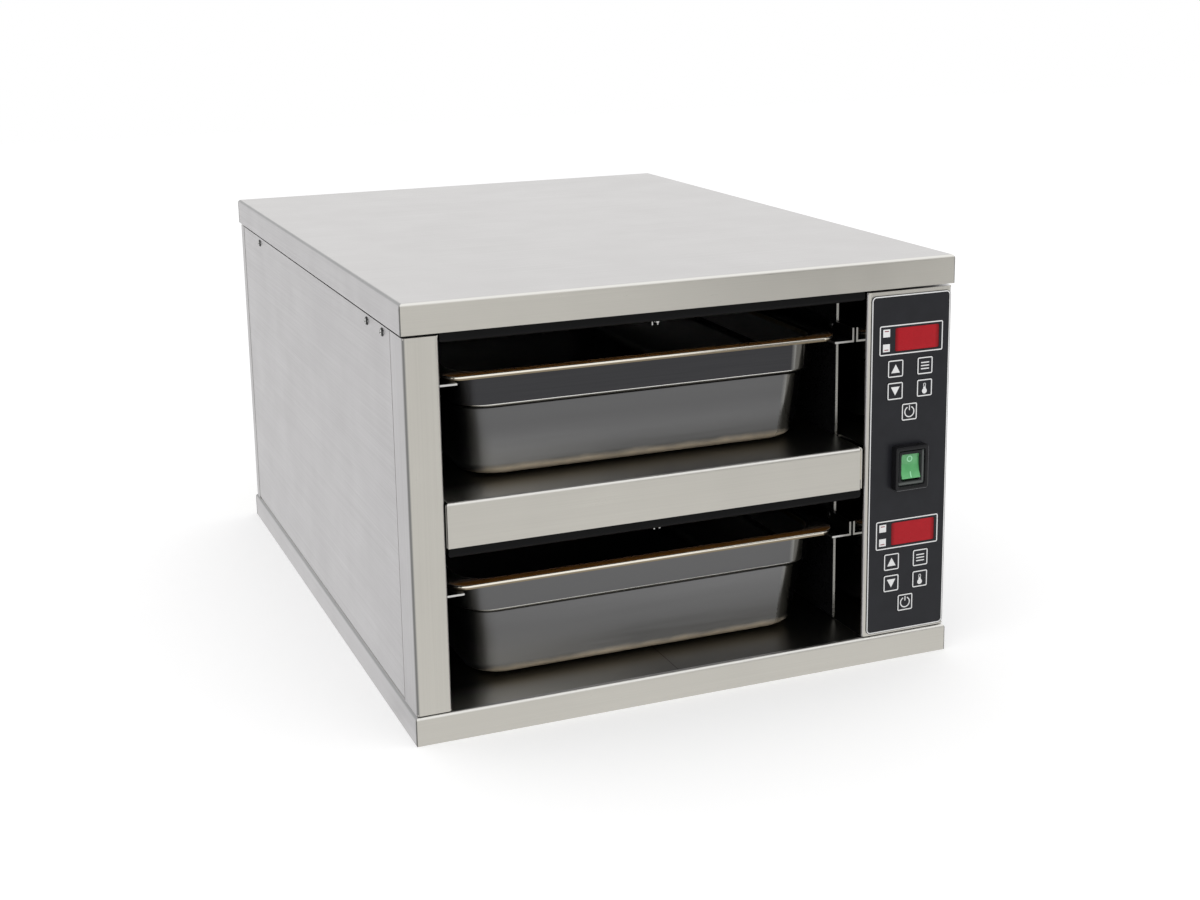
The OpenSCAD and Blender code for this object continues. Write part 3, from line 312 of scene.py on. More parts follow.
def middle(node):
    low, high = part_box(node)
    return (low + high) / 2


def bay_mouth():
    """Lowest and highest corners of the space between the bays' walls, behind the front folds."""
    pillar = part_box("front_pillar")[1]
    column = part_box("control_fascia")[0]
    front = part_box("base_tray")[0].y
    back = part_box("rear_liner")[0].y
    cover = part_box("top_cover")[0].z
    edge = 0.6 * MM
    fold = 4.2 * MM
    return (
        Vector((pillar.x - edge, front + fold, 0)),
        Vector((column.x + edge, back, cover + edge)),
    )


# Materials


def shade(base, factor):
    """A colour made lighter or darker, up to white."""
    return tuple(min(1, value * factor) for value in base)


def empty_tree(owner):
    """The cleared node tree of a material or world."""
    owner.use_nodes = True
    owner.node_tree.nodes.clear()
    return owner.node_tree


class Finish:
    """A material under construction: one shader fed by textures in the part's own frame."""

    def __init__(self, name):
        self.material = bpy.data.materials.new(name)
        self.tree = empty_tree(self.material)
        self.shader = self.add("ShaderNodeBsdfPrincipled")
        output = self.add("ShaderNodeOutputMaterial")
        self.link(self.shader.outputs["BSDF"], output.inputs["Surface"])
        places = self.add("ShaderNodeTexCoord")
        self.place = places.outputs["Object"]
        self.share = places.outputs["Generated"]

    def add(self, kind, **settings):
        node = self.tree.nodes.new(kind)
        for name, value in settings.items():
            setattr(node, name, value)
        return node

    def link(self, source, target):
        self.tree.links.new(source, target)

    def feed(self, socket, value):
        """Gives a socket a constant, or a link where the value is another socket."""
        if isinstance(value, bpy.types.NodeSocket):
            self.link(value, socket)
        elif isinstance(value, (int, float)):
            socket.default_value = value
        else:
            values = tuple(value)
            socket.default_value = values + (1,) * (len(socket.default_value) - len(values))

    def set(self, **inputs):
        """Feeds the shader's own sockets, named in lower case with underscores."""
        sockets = {socket.name.lower().replace(" ", "_"): socket for socket in self.shader.inputs}
        for name, value in inputs.items():
            self.feed(sockets[name], value)

    def math(self, operation, first, second=0.0):
        node = self.add("ShaderNodeMath", operation=operation)
        self.feed(node.inputs[0], first)
        self.feed(node.inputs[1], second)
        return node.outputs[0]

    def times(self, first, *others):
        for other in others:
            first = self.math("MULTIPLY", first, other)
        return first

    def largest(self, first, *others):
        for other in others:
            first = self.math("MAXIMUM", first, other)
        return first

    def size_of(self, value):
        return self.math("ABSOLUTE", value)

    def above(self, value, limit):
        return self.math("GREATER_THAN", value, limit)

    def below(self, value, limit):
        return self.math("LESS_THAN", value, limit)

    def noise(self, scale, stretch=(1, 1, 1), detail=2.0):
        mapping = self.add("ShaderNodeMapping")
        mapping.inputs["Scale"].default_value = stretch
        self.link(self.place, mapping.inputs["Vector"])
        node = self.add("ShaderNodeTexNoise")
        node.inputs["Scale"].default_value = scale
        node.inputs["Detail"].default_value = detail
        self.link(mapping.outputs["Vector"], node.inputs["Vector"])
        return node.outputs["Fac"]

    def spread(self, value, low, high, start=0.3, end=0.7):
        """Maps a texture's start to end onto low to high."""
        node = self.add("ShaderNodeMapRange")
        for name, number in zip(("From Min", "From Max", "To Min", "To Max"), (start, end, low, high)):
            node.inputs[name].default_value = number
        self.link(value, node.inputs["Value"])
        return node.outputs["Result"]

    def mix(self, factor, first, second):
        node = self.add("ShaderNodeMix", data_type="RGBA")
        self.feed(node.inputs["Factor"], factor)
        self.feed(node.inputs[6], first)
        self.feed(node.inputs[7], second)
        return node.outputs[2]

    def mottle(self, texture, base, factor):
        """A colour that drifts with a texture to a lighter or darker shade."""
        return self.mix(self.spread(texture, 0, 1), base, shade(base, factor))

    def blend(self, factor, first, second):
        node = self.add("ShaderNodeMix", data_type="FLOAT")
        self.feed(node.inputs["Factor"], factor)
        self.feed(node.inputs[2], first)
        self.feed(node.inputs[3], second)
        return node.outputs[0]

    def bump(self, height, depth, strength=1.0):
        node = self.add("ShaderNodeBump")
        node.inputs["Strength"].default_value = strength
        node.inputs["Distance"].default_value = depth
        self.link(height, node.inputs["Height"])
        self.set(normal=node.outputs["Normal"])

    def axes(self, vector):
        node = self.add("ShaderNodeSeparateXYZ")
        self.link(vector, node.inputs[0])
        return node.outputs

    def normal(self):
        """The surface's own direction, as three numbers."""
        return self.axes(self.add("ShaderNodeNewGeometry").outputs["Normal"])

    def between(self, value, low, high):
        """1 where the value lies between two limits, and 0 elsewhere."""
        return self.times(self.above(value, low), self.below(value, high))


def corner_seam_shade(finish, x, y):
    """1 at the upright corners of the cover and the base, where their folds meet: a mask for painted
    shade.
    """
    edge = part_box("top_cover")[1]
    side_band, end_band = 0.5 * MM, 2 * MM
    near_side = finish.above(finish.size_of(x), edge.x - side_band)
    near_end = finish.above(finish.size_of(y), edge.y - end_band)
    return finish.times(near_side, near_end)


def rear_seam_shade(finish, y, z, x_face):
    """Part of 1 along the seams between the side panels and the rear panel's folds: a mask for painted
    shade.
    """
    low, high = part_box("left_side_panel")
    before, behind = 1.2 * MM, 2 * MM
    strip = finish.between(y, high.y - before, high.y + behind)
    strip = finish.times(strip, finish.between(z, low.z, high.z))
    return finish.times(strip, finish.spread(x_face, 0, 0.9, *FACING))


def brushed_steel(name, steel, upright=False):
    """Brushed stainless sheet, with level or upright lines and painted light and shade: by the way each
    face turns, at its folds and seams, and on the deck below the pans; beside the pans it is polished.
    """
    finish = Finish(name)
    x_face, y_face, z_face = (finish.size_of(part) for part in finish.normal())
    lines_along = 6
    long = lines_along / steel.grain
    side_lines = finish.noise(steel.grain, (1, 1, long) if upright else (long, long, 1))
    deck_lines = finish.noise(steel.grain, (long, 1, long))
    lines = finish.blend(z_face, side_lines, deck_lines)
    patches = finish.noise(steel.patch, detail=1)
    smudges = finish.noise(steel.patch * 5, detail=4)
    level = finish.spread(z_face, 0, 1, *FACING)
    # Painted light and shade: each face is lit or shaded by the way it turns.
    tint = finish.mix(finish.spread(x_face, 0, 1, *FACING), steel.front, steel.side)
    tint = finish.mix(level, tint, steel.top)
    sheet = finish.mix(finish.spread(patches, 0, steel.drift), tint, steel.patch_tint)
    sheet = finish.mix(finish.spread(lines, 0, steel.line_depth), sheet, steel.line_tint)
    x, y, z = finish.axes(finish.place)
    inner, fold_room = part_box("front_pillar")[1].x, 4 * MM
    outside = finish.above(finish.size_of(x), abs(inner) + fold_room)
    # Painted light at the bends: a painted highlight on the front folds, painted shade on the folds along
    # the sides and on the outer upright bends.
    for first, second, tone in (
        (y_face, z_face, steel.fold),
        (x_face, z_face, steel.side_fold_shade),
        (x_face, finish.times(y_face, outside), steel.corner),
    ):
        bend = finish.spread(finish.math("MINIMUM", first, second), 0, 1, *BENT)
        sheet = finish.mix(bend, sheet, tone)
    # Painted shade along the seams.
    for seam in (corner_seam_shade(finish, x, y), rear_seam_shade(finish, y, z, x_face)):
        sheet = finish.mix(seam, sheet, steel.seam)
    roughness = finish.spread(lines, steel.smooth, steel.rough)
    roughness = finish.math("ADD", roughness, finish.spread(smudges, -0.03, 0.03))
    low, high = bay_mouth()
    in_bay = finish.times(finish.between(x, low.x, high.x), finish.between(y, low.y, high.y))
    in_bay = finish.times(in_bay, finish.below(z, high.z))
    # The deck below the pans: painted light at its front left, painted shade towards its middle and
    # further in.
    deck = finish.mix(finish.spread(x, 0, 1, low.x, (low.x + high.x) / 2), steel.left_deck_light, steel.deck)
    deck = finish.mix(finish.spread(y, 0, 1, low.y, low.y + steel.deck_depth), deck, steel.deep_deck_shade)
    throat_and_painted_deck = finish.mix(level, steel.throat, deck)
    bay_roughness = finish.blend(level, steel.throat_rough, steel.deck_rough)
    finish.set(
        base_color=finish.mix(in_bay, sheet, throat_and_painted_deck),
        metallic=1.0,
        roughness=finish.blend(in_bay, roughness, bay_roughness),
    )
    finish.bump(lines, 0.004 * MM, 0.35)
    return finish.material


def plain_metal(name, base, roughness):
    """Mill-finish metal with faint stains and scratches."""
    finish = Finish(name)
    stains = finish.noise(40, detail=4)
    scratches = finish.noise(400, (1, 0.05, 1), detail=3)
    finish.set(
        base_color=finish.mottle(stains, base, 0.75),
        metallic=1.0,
        roughness=finish.spread(scratches, roughness - 0.06, roughness + 0.08),
    )
    finish.bump(scratches, 0.01 * MM, 0.3)
    return finish.material


def bay_shaded_metal(name, shade_tone, bare, roughness):
    """Steel darkened as painted shade, whose forward cut edges stay bright."""
    finish = Finish(name)
    smears = finish.noise(60, (1, 0.2, 1), detail=4)
    forward = finish.spread(finish.normal()["Y"], 1, 0, -0.95, -0.6)
    faces = finish.mottle(smears, shade_tone, 1.8)
    finish.set(
        base_color=finish.mix(forward, faces, bare),
        metallic=1.0,
        roughness=finish.spread(smears, roughness - 0.06, roughness + 0.08),
    )
    finish.bump(smears, 0.01 * MM, 0.3)
    return finish.material


def domed_steel(name, base, rim, roughness):
    """Turned steel, with painted shade round the slope of a domed head."""
    finish = Finish(name)
    x_face, y_face, z_face = (finish.size_of(part) for part in finish.normal())
    straight = finish.largest(x_face, y_face, z_face)
    rings = finish.noise(900, detail=2)
    # Painted shade where the head's face turns away from the axes.
    finish.set(
        base_color=finish.mix(finish.spread(straight, 1, 0, 0.78, 0.90), base, rim),
        metallic=1.0,
        roughness=finish.spread(rings, roughness - 0.04, roughness + 0.06),
    )
    finish.bump(rings, 0.01 * MM, 0.2)
    return finish.material


def painted(name, base, roughness, lift=1.6, gloss=0.5, edge=None, bare=None):
    """Satin paint with a fine orange peel, which on the liners is painted shade; in front of an edge, in
    metres, it is bare metal.
    """
    finish = Finish(name)
    peel = finish.noise(900, detail=1)
    dust = finish.noise(30, detail=5)
    paint = finish.mottle(dust, base, lift)
    metallic = 0.0
    if edge is not None:
        metallic = finish.below(finish.axes(finish.place)["Y"], edge)
        paint = finish.mix(metallic, paint, bare)
    finish.set(
        base_color=paint,
        metallic=metallic,
        roughness=finish.spread(peel, roughness - 0.05, roughness + 0.05),
        specular_ior_level=gloss,
    )
    finish.bump(peel, 0.02 * MM, 0.25)
    return finish.material


def moulded(name, base, roughness, lift=1.35, depth=0.03, gloss=0.5):
    """Moulded plastic, film or ink with a fine surface grain, of a depth in millimetres."""
    finish = Finish(name)
    spark = finish.noise(1400, detail=2)
    cloud = finish.noise(60, detail=3)
    finish.set(
        base_color=finish.mottle(cloud, base, lift),
        roughness=finish.spread(spark, roughness - 0.05, roughness + 0.06),
        specular_ior_level=gloss,
    )
    finish.bump(spark, depth * MM, 0.25)
    return finish.material


def edged_plastic(name, base, edge, band, roughness, gloss):
    """Dark glossy plastic with a painted highlight on its right and lower edges, over a band, a share of
    its size.
    """
    finish = Finish(name)
    cloud = finish.noise(90, detail=3)
    shares = finish.axes(finish.share)
    start, end = 0.8 * band, 1.3 * band
    right = finish.spread(shares["X"], 0, 1, 1 - end, 1 - start)
    below = finish.spread(shares["Z"], 1, 0, start, end)
    forward = finish.spread(finish.normal()["Y"], 1, 0, -0.4, -0.1)
    # Painted highlight on the right and lower edges of faces that look forward.
    edge_highlight = finish.times(finish.largest(right, below), forward)
    tone = finish.mottle(cloud, base, 1.4)
    finish.set(
        base_color=finish.mix(edge_highlight, tone, edge),
        roughness=finish.spread(cloud, roughness - 0.04, roughness + 0.04),
        specular_ior_level=gloss,
    )
    finish.bump(cloud, 0.02 * MM, 0.15)
    return finish.material


def pan_steel(name, colours, pan, walls, collar):
    """Polished pan steel: a rolled rim and a shoulder with painted highlights, a brown band on the flat of
    the rim, painted highlights on the drawn corners, a foot with a painted reflection and stains, and
    walls in painted shade.

    walls holds the wall's painted shades at its left and right ends.
    """
    finish = Finish(name)
    low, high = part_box("upper_pan")
    deep = high.z - low.z
    across, along, height = finish.axes(finish.share)
    x_face, y_face, z_face = finish.normal()
    drop = pan.rim_drop / deep
    # A brown band below the rolled edge.
    skirt = finish.spread(height, 0, 1, 1 - 2 * drop, 1 - 1.4 * drop)
    # The rolled edge, where a painted highlight goes.
    rim = finish.spread(height, 0, 1, 1 - 0.66 * drop, 1 - 0.5 * drop)
    flange = finish.times(rim, finish.spread(z_face, 0, 1, 0.80, 0.97))
    # A brown band along the front of the rim's flat, fading further back.
    tint = finish.spread(along, 1, 0.05, 0.012, 0.032)
    shoulder = 1 - pan.shoulder_depth / deep
    # The shoulder's bend, where a painted highlight goes.
    bend = finish.between(height, shoulder - 1.4 * MM / deep, shoulder + 0.7 * MM / deep)
    blots = finish.noise(60, (1, 1, 1.6), detail=4)
    edge = finish.math("ADD", height, finish.spread(blots, -0.6 * MM / deep, 0.6 * MM / deep))
    # The foot: a painted reflection, blotched with stains.
    foot = finish.spread(edge, 1, 0, 0.55 * pan.base_bend / deep, 1.05 * pan.base_bend / deep)
    foot = finish.times(foot, finish.spread(z_face, 1, 0, -0.05, 0.15))
    foot = finish.times(foot, finish.spread(finish.size_of(x_face), 1, 0, 0.3, 0.6))
    # The drawn corners, where a painted highlight goes.
    corner = finish.times(
        finish.spread(x_face, 0, 1, 0.03, 0.15), finish.spread(x_face, 1, 0, 0.7, 0.9)
    )
    sideways = finish.times(finish.math("SUBTRACT", across, 0.5), x_face)
    endways = finish.times(finish.math("SUBTRACT", along, 0.5), y_face)
    inward = finish.below(finish.math("ADD", sideways, endways), -0.02)
    bottom = finish.times(finish.above(z_face, 0.3), finish.below(height, 0.5))
    inside = finish.largest(inward, bottom)
    drawn = finish.noise(700, (0.02, 0.02, 1), detail=2)
    over = finish.spread(across, 0, 1, 0.1, 0.9)
    # Painted reflection: the wall grows lighter towards its foot.
    lower = finish.math("POWER", finish.spread(height, 1, 0, 0.1, 0.5), 2)
    # The walls' painted shade from the left to the right end, and a copy three times as light for the
    # painted reflection near the foot.
    plain, bright = (
        finish.mix(over, *(shade(wall, factor) for wall in walls)) for factor in (1, 3)
    )
    sheet = finish.mix(lower, plain, bright)
    # Painted shade above the shoulder.
    sheet = finish.mix(finish.above(height, shoulder), sheet, collar)
    sheet = finish.mix(finish.spread(drawn, 0, 0.03), sheet, (0.26, 0.26, 0.26))
    sheet = finish.mix(corner, sheet, colours.pan_corner)
    sheet = finish.mix(inside, sheet, colours.pan_inside)
    foot_sheen_and_grime_tone = finish.mix(finish.spread(blots, 0, 0.4), colours.pan_foot, shade(colours.pan_foot, 0.5))
    sheet = finish.mix(foot, sheet, foot_sheen_and_grime_tone)
    sheet = finish.mix(bend, sheet, colours.pan_shoulder)
    sheet = finish.mix(skirt, sheet, colours.pan_skirt)
    sheet = finish.mix(rim, sheet, colours.pan_rim)
    brown_band = finish.mix(tint, colours.pan_inside, colours.pan_flange)
    dull = finish.largest(finish.times(foot, 0.7), finish.times(flange, tint, 0.65))
    polished = finish.largest(rim, bend, corner)
    finish.set(
        base_color=finish.mix(flange, sheet, brown_band),
        metallic=finish.math("SUBTRACT", 1.0, dull),
        roughness=finish.blend(polished, finish.spread(drawn, 0.30, 0.36), 0.14),
    )
    finish.bump(drawn, 0.004 * MM, 0.1)
    return finish.material


def fibre(name, base):
    """Loose mineral fibre pressed into board."""
    finish = Finish(name)
    strands = finish.noise(220, (1, 0.3, 1), detail=6)
    clumps = finish.noise(35, detail=3)
    finish.set(base_color=finish.mottle(clumps, base, 0.6), roughness=0.95)
    finish.bump(strands, 0.4 * MM, 0.6)
    return finish.material


def clear_plastic(name, base, roughness, clearness):
    """Tinted plastic that lets some light through."""
    finish = Finish(name)
    cloud = finish.noise(90, detail=3)
    finish.set(
        base_color=finish.mottle(cloud, base, 1.25),
        roughness=finish.spread(cloud, roughness - 0.04, roughness + 0.06),
        transmission_weight=clearness,
        coat_weight=0.4,
        coat_roughness=0.12,
    )
    finish.bump(cloud, 0.02 * MM, 0.15)
    return finish.material


def wear(material, *nodes):
    """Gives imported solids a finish."""
    for name in nodes:
        slots = NODES[name].material_slots
        if not slots:
            raise RuntimeError(f"{name} has no material slot")
        for slot in slots:
            slot.material = material


# Meshes


def rounded(width, height, radius, steps=6):
    """Outline of a rectangle with round corners about the origin, anticlockwise."""
    points = []
    for corner in range(4):
        side = 1 if corner in (0, 3) else -1
        rise = 1 if corner in (0, 1) else -1
        for step in range(steps + 1):
            turn = math.pi / 2 * (corner + step / steps)
            points.append((
                side * (width / 2 - radius) + radius * math.cos(turn),
                rise * (height / 2 - radius) + radius * math.sin(turn),
            ))
    return points


def arc(radius, start, end, steps=24):
    """Points along an arc about the origin, from one angle in degrees to another."""
    turns = [math.radians(start + (end - start) * step / steps) for step in range(steps + 1)]
    return [(radius * math.cos(turn), radius * math.sin(turn)) for turn in turns]


def circle(radius, steps=24):
    """Points round a full circle about the origin."""
    return arc(radius, 0, 360 - 360 / steps, steps - 1)


def moved(points, x, z):
    return [(px + x, pz + z) for px, pz in points]


def box_outline(x0, z0, x1, z1):
    return [(x0, z0), (x1, z0), (x1, z1), (x0, z1)]


def loft(bm, rings, fill_first=False, fill_last=False, closed=False):
    """Skins rings of equal count in turn, and fills the first or last one with a face."""
    rows = [[bm.verts.new(point) for point in ring] for ring in rings]
    count = len(rings[0])
    pairs = list(zip(rows, rows[1:])) + ([(rows[-1], rows[0])] if closed else [])
    for first, second in pairs:
        for i in range(count):
            j = (i + 1) % count
            bm.faces.new((first[i], first[j], second[j], second[i]))
    if fill_first:
        bm.faces.new(rows[0][::-1])
    if fill_last:
        bm.faces.new(rows[-1])


def add_plate(bm, outline, back, front, hole=None):
    """Adds a plate in X and Z from the plane y = back to y = front, with a hole of as many points."""
    def at(points, y):
        return [(x, y, z) for x, z in points]

    if hole is None:
        loft(bm, [at(outline, back), at(outline, front)], True, True)
    else:
        loft(bm, [at(outline, back), at(outline, front), at(hole, front), at(hole, back)], closed=True)


def add_line_frame(bm, width, height, radius, line, x, z, back, front):
    """Adds a printed outline of a rounded rectangle."""
    outer = moved(rounded(width, height, radius), x, z)
    inner = moved(rounded(width - 2 * line, height - 2 * line, max(radius - line, 0.1 * MM)), x, z)
    add_plate(bm, outer, back, front, inner)


def mesh_from(bm, name, smooth_angle=None):
    """Ends a mesh: normals out, and smooth up to an angle in degrees where one is given."""
    bmesh.ops.recalc_face_normals(bm, faces=bm.faces)
    mesh = bpy.data.meshes.new(name)
    bm.to_mesh(mesh)
    bm.free()
    if smooth_angle is not None:
        mesh.shade_smooth()
        mesh.set_sharp_from_angle(angle=math.radians(smooth_angle))
    return mesh


def piece(name, mesh, material, body, replaced=()):
    """Makes a mesh into a piece that rides on a body and takes its finish from a slot."""
    obj = bpy.data.objects.new(name, mesh)
    bpy.context.scene.collection.objects.link(obj)
    mesh.materials.append(material)
    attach(obj, body)
    if replaced:
        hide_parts(*replaced)
    return obj


# Pieces


class BIN_OT_stage(Operator):
    """Make the camera, the pale floor and the soft light"""

    bl_idname = "bin.stage"
    bl_label = "Stage"

    def execute(self, context):
        stage = context.scene.bin_stage
        self.make_camera(context.scene, stage)
        self.make_world(context.scene, stage)
        self.make_floor(context.scene, stage)
        self.make_lamp(context.scene, stage)
        self.make_card(context.scene, stage)
        context.scene.view_settings.view_transform = "Standard"
        return {"FINISHED"}

    def make_camera(self, scene, stage):
        turn, lift = -stage.azimuth, stage.elevation
        back = Vector((
            math.sin(turn) * math.cos(lift), -math.cos(turn) * math.cos(lift), math.sin(lift)
        ))
        right = Vector((math.cos(turn), math.sin(turn), 0))
        up = back.cross(right)
        aim = Vector((0, 0, stage.aim_height)) + right * stage.aim_right + up * stage.aim_up
        place = aim + back * stage.distance
        rolled_right = right * math.cos(stage.roll) + up * math.sin(stage.roll)
        rolled_up = back.cross(rolled_right)
        data = bpy.data.cameras.new("camera")
        data.sensor_width = 36
        data.lens = stage.lens
        data.shift_y = stage.shift_up
        camera = bpy.data.objects.new("camera", data)
        axes = Matrix((rolled_right, rolled_up, back)).transposed()
        camera.matrix_world = Matrix.Translation(place) @ axes.to_4x4()
        scene.collection.objects.link(camera)
        scene.camera = camera

    def add_node(self, tree, kind, *sources, **settings):
        """Adds a node whose inputs come in order from other nodes, and returns its first output."""
        node = tree.nodes.new(kind)
        for name, value in settings.items():
            setattr(node, name, value)
        for socket, source in zip(node.inputs, sources):
            tree.links.new(source, socket)
        return node.outputs[0] if node.outputs else None

    def seen_directly(self, tree):
        """1 for rays from the camera, from a mirror or through glass, and 0 for light on a surface."""
        path = tree.nodes.new("ShaderNodeLightPath").outputs
        total = path["Is Camera Ray"]
        for name in ("Is Glossy Ray", "Is Transmission Ray"):
            total = self.add_node(tree, "ShaderNodeMath", total, path[name], operation="MAXIMUM")
        return total

    def make_world(self, scene, stage):
        world = bpy.data.worlds.new("white room")
        tree = empty_tree(world)
        even = self.add_node(tree, "ShaderNodeBackground")
        white = self.add_node(tree, "ShaderNodeBackground")
        even.node.inputs["Strength"].default_value = stage.fill
        for background in (even, white):
            background.node.inputs["Color"].default_value = (1, 1, 1, 1)
        mix = self.add_node(tree, "ShaderNodeMixShader", self.seen_directly(tree), even, white)
        self.add_node(tree, "ShaderNodeOutputWorld", mix)
        scene.world = world

    def make_floor(self, scene, stage):
        half = stage.floor_size / 2
        mesh = bpy.data.meshes.new("floor")
        corners = [(-half, -half, 0), (half, -half, 0), (half, half, 0), (-half, half, 0)]
        mesh.from_pydata(corners, [], [(0, 1, 2, 3)])
        material = bpy.data.materials.new("pale floor")
        tree = empty_tree(material)
        matt = self.add_node(tree, "ShaderNodeBsdfDiffuse")
        matt.node.inputs["Color"].default_value = tuple(stage.floor_colour) + (1,)
        level = self.add_node(tree, "ShaderNodeMath", self.seen_directly(tree), operation="MULTIPLY")
        level.node.inputs[1].default_value = stage.floor_glow
        glow = self.add_node(tree, "ShaderNodeEmission")
        tree.links.new(level, glow.node.inputs["Strength"])
        both = self.add_node(tree, "ShaderNodeAddShader", matt, glow)
        white = self.add_node(tree, "ShaderNodeEmission")
        glossy = tree.nodes.new("ShaderNodeLightPath").outputs["Is Glossy Ray"]
        mirrored = self.add_node(tree, "ShaderNodeMixShader", glossy, both, white)
        self.add_node(tree, "ShaderNodeOutputMaterial", mirrored)
        mesh.materials.append(material)
        floor = bpy.data.objects.new("floor", mesh)
        clear_of_base = 0.1 * MM
        floor.location.z = -clear_of_base
        scene.collection.objects.link(floor)

    def make_lamp(self, scene, stage):
        data = bpy.data.lights.new("overhead", "AREA")
        data.shape = "SQUARE"
        data.size = stage.lamp_size
        data.energy = stage.lamp_power
        lamp = bpy.data.objects.new("overhead", data)
        lamp.location = (-stage.lamp_left, -stage.lamp_front, stage.lamp_height)
        lamp.rotation_euler = (-lamp.location).to_track_quat("-Z", "Y").to_euler()
        lamp.visible_glossy = False
        scene.collection.objects.link(lamp)

    def make_card(self, scene, stage):
        """A grey card out of view, which draws a soft fall of light along the metal."""
        x, y, half = stage.card_x, -stage.card_y, stage.card_l / 2
        mesh = bpy.data.meshes.new("grey card")
        low, high = 10 * MM, stage.card_h
        corners = [(x, y - half, low), (x, y + half, low), (x, y + half, high), (x, y - half, high)]
        mesh.from_pydata(corners, [], [(0, 1, 2, 3)])
        finish = Finish("grey card")
        paper = finish.noise(3, detail=3)
        tone = finish.mix(paper, stage.card_colour, shade(stage.card_colour, 1.2))
        finish.set(base_color=tone, roughness=0.9)
        mesh.materials.append(finish.material)
        card = bpy.data.objects.new("grey_card", mesh)
        card.visible_camera = False
        card.visible_diffuse = False
        card.visible_transmission = False
        card.visible_shadow = False
        scene.collection.objects.link(card)


class BIN_OT_casing(Operator):
    """Finish the folded stainless sheets of the cabinet"""

    bl_idname = "bin.casing"
    bl_label = "Casing"

    def execute(self, context):
        steel = context.scene.bin_steel
        level = brushed_steel("level brushed steel", steel)
        upright = brushed_steel("upright brushed steel", steel, upright=True)
        wear(level, "top_cover", "base_tray", "shelf_tray", "left_side_panel", "right_side_panel")
        wear(upright, "front_pillar", "control_fascia", "rear_panel")
        # The hidden base plate takes the painted shade of forward-facing sheets as its colour.
        wear(plain_metal("base plate steel", steel.front, 0.4), "base_plate")
        return {"FINISHED"}


class BIN_OT_bays(Operator):
    """Finish the liners, heater trays, runners, probes and their rivets"""

    bl_idname = "bin.bays"
    bl_label = "Bays"

    def execute(self, context):
        colours = context.scene.bin_colours
        cut_edge = 0.3 * MM
        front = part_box("left_liner")[0].y + cut_edge
        # The liners' black is painted shade inside the bays, with bare steel at their front edges.
        liner = painted(
            "liner black", colours.liner_shade_black, 0.30, gloss=0.3, edge=front, bare=colours.cut_steel
        )
        heater = painted("heater black", colours.heater, 0.42, lift=1.3, gloss=0.1)
        # The runners' dark faces are painted shade.
        runner = bay_shaded_metal("runner steel", colours.runner, colours.plain_steel, 0.3)
        bright = plain_metal("clip steel", colours.plain_steel, 0.24)
        wear(liner, "left_liner", "right_liner", "rear_liner")
        wear(heater, *each_level("heater_tray"))
        wear(runner, *each_level("left_runner"), *each_level("right_runner"))
        wear(bright, "probe_clips", *each_level("probe"))
        wear(plain_metal("rivet steel", colours.fastener, 0.28), "liner_rivets")
        return {"FINISHED"}


class BIN_OT_pans(Operator):
    """Make the two drawn steel food pans"""

    bl_idname = "bin.pans"
    bl_label = "Pans"

    def execute(self, context):
        pan, colours = context.scene.bin_pan, context.scene.bin_colours
        for level in LEVELS:
            node = f"{level}_pan"
            # Each level takes its own painted shades for its wall and collar.
            left, right, collar = (
                getattr(colours, f"{level}_{part}") for part in ("wall", "wall_right", "collar")
            )
            steel = pan_steel(f"{level} pan steel", colours, pan, (left, right), collar)
            mesh = self.pan_mesh(node, pan)
            piece(f"{level}_food_pan", mesh, steel, node, [node])
        return {"FINISHED"}

    def profile(self, pan, deep):
        """The sheet's upper face from the rim's edge to the bottom, as insets and heights."""
        wall = pan.rim + pan.lean + pan.shoulder_step
        foot_x = wall + pan.draft + pan.base_bend
        foot_z = -deep + pan.wall + pan.base_bend
        points = [(0, -pan.rim_drop)]
        points += moved(arc(pan.rim_bend, 180, 90, 6), pan.rim_bend, -pan.rim_bend)
        points += moved(arc(pan.throat, 90, 0, 6), pan.rim - pan.throat, -pan.throat)
        points += self.shoulder(pan, wall)
        points += moved(arc(pan.base_bend, 180, 270, 10), foot_x, foot_z)
        return points

    def shoulder(self, pan, wall):
        """The stacking shoulder with its two soft bends."""
        top = Vector((pan.rim + pan.lean, -pan.shoulder_depth))
        low = Vector((wall, -pan.shoulder_depth - pan.shoulder_fall))
        soft, ease = 1.2 * MM, 0.1 * MM
        above = Vector((pan.rim + pan.lean * 0.95, -pan.shoulder_depth + soft))
        below = Vector((wall + ease, low.y - soft))
        slope = (low - top).normalized() * soft * 0.4
        return [tuple(point) for point in (above, top + slope, low - slope, below)]

    def pan_mesh(self, node, pan):
        low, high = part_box(node)
        face = self.profile(pan, high.z - low.z)
        back = []
        for i, point in enumerate(face):
            ahead = Vector(face[min(i + 1, len(face) - 1)]) - Vector(face[max(i - 1, 0)])
            if i == 0:
                ahead = Vector((0, 1))
            if i == len(face) - 1:
                ahead = Vector((1, 0))
            ahead.normalize()
            back.append((point[0] + pan.wall * ahead.y, point[1] - pan.wall * ahead.x))
        rings = [self.ring(inset, z, pan, low, high) for inset, z in back[::-1] + face]
        bm = bmesh.new()
        loft(bm, rings, True, True)
        return mesh_from(bm, node, 40)

    def ring(self, inset, height, pan, low, high):
        across_rim = min(1, max(0, inset / pan.rim))
        radius = pan.rim_corner + (pan.wall_corner - pan.rim_corner) * across_rim
        width = high.x - low.x - 2 * inset
        depth = high.y - low.y - 2 * inset
        centre = (low + high) / 2
        outline = rounded(width, depth, radius, pan.corner_steps)
        return [(centre.x + x, centre.y + y, high.z + height) for x, y in outline]


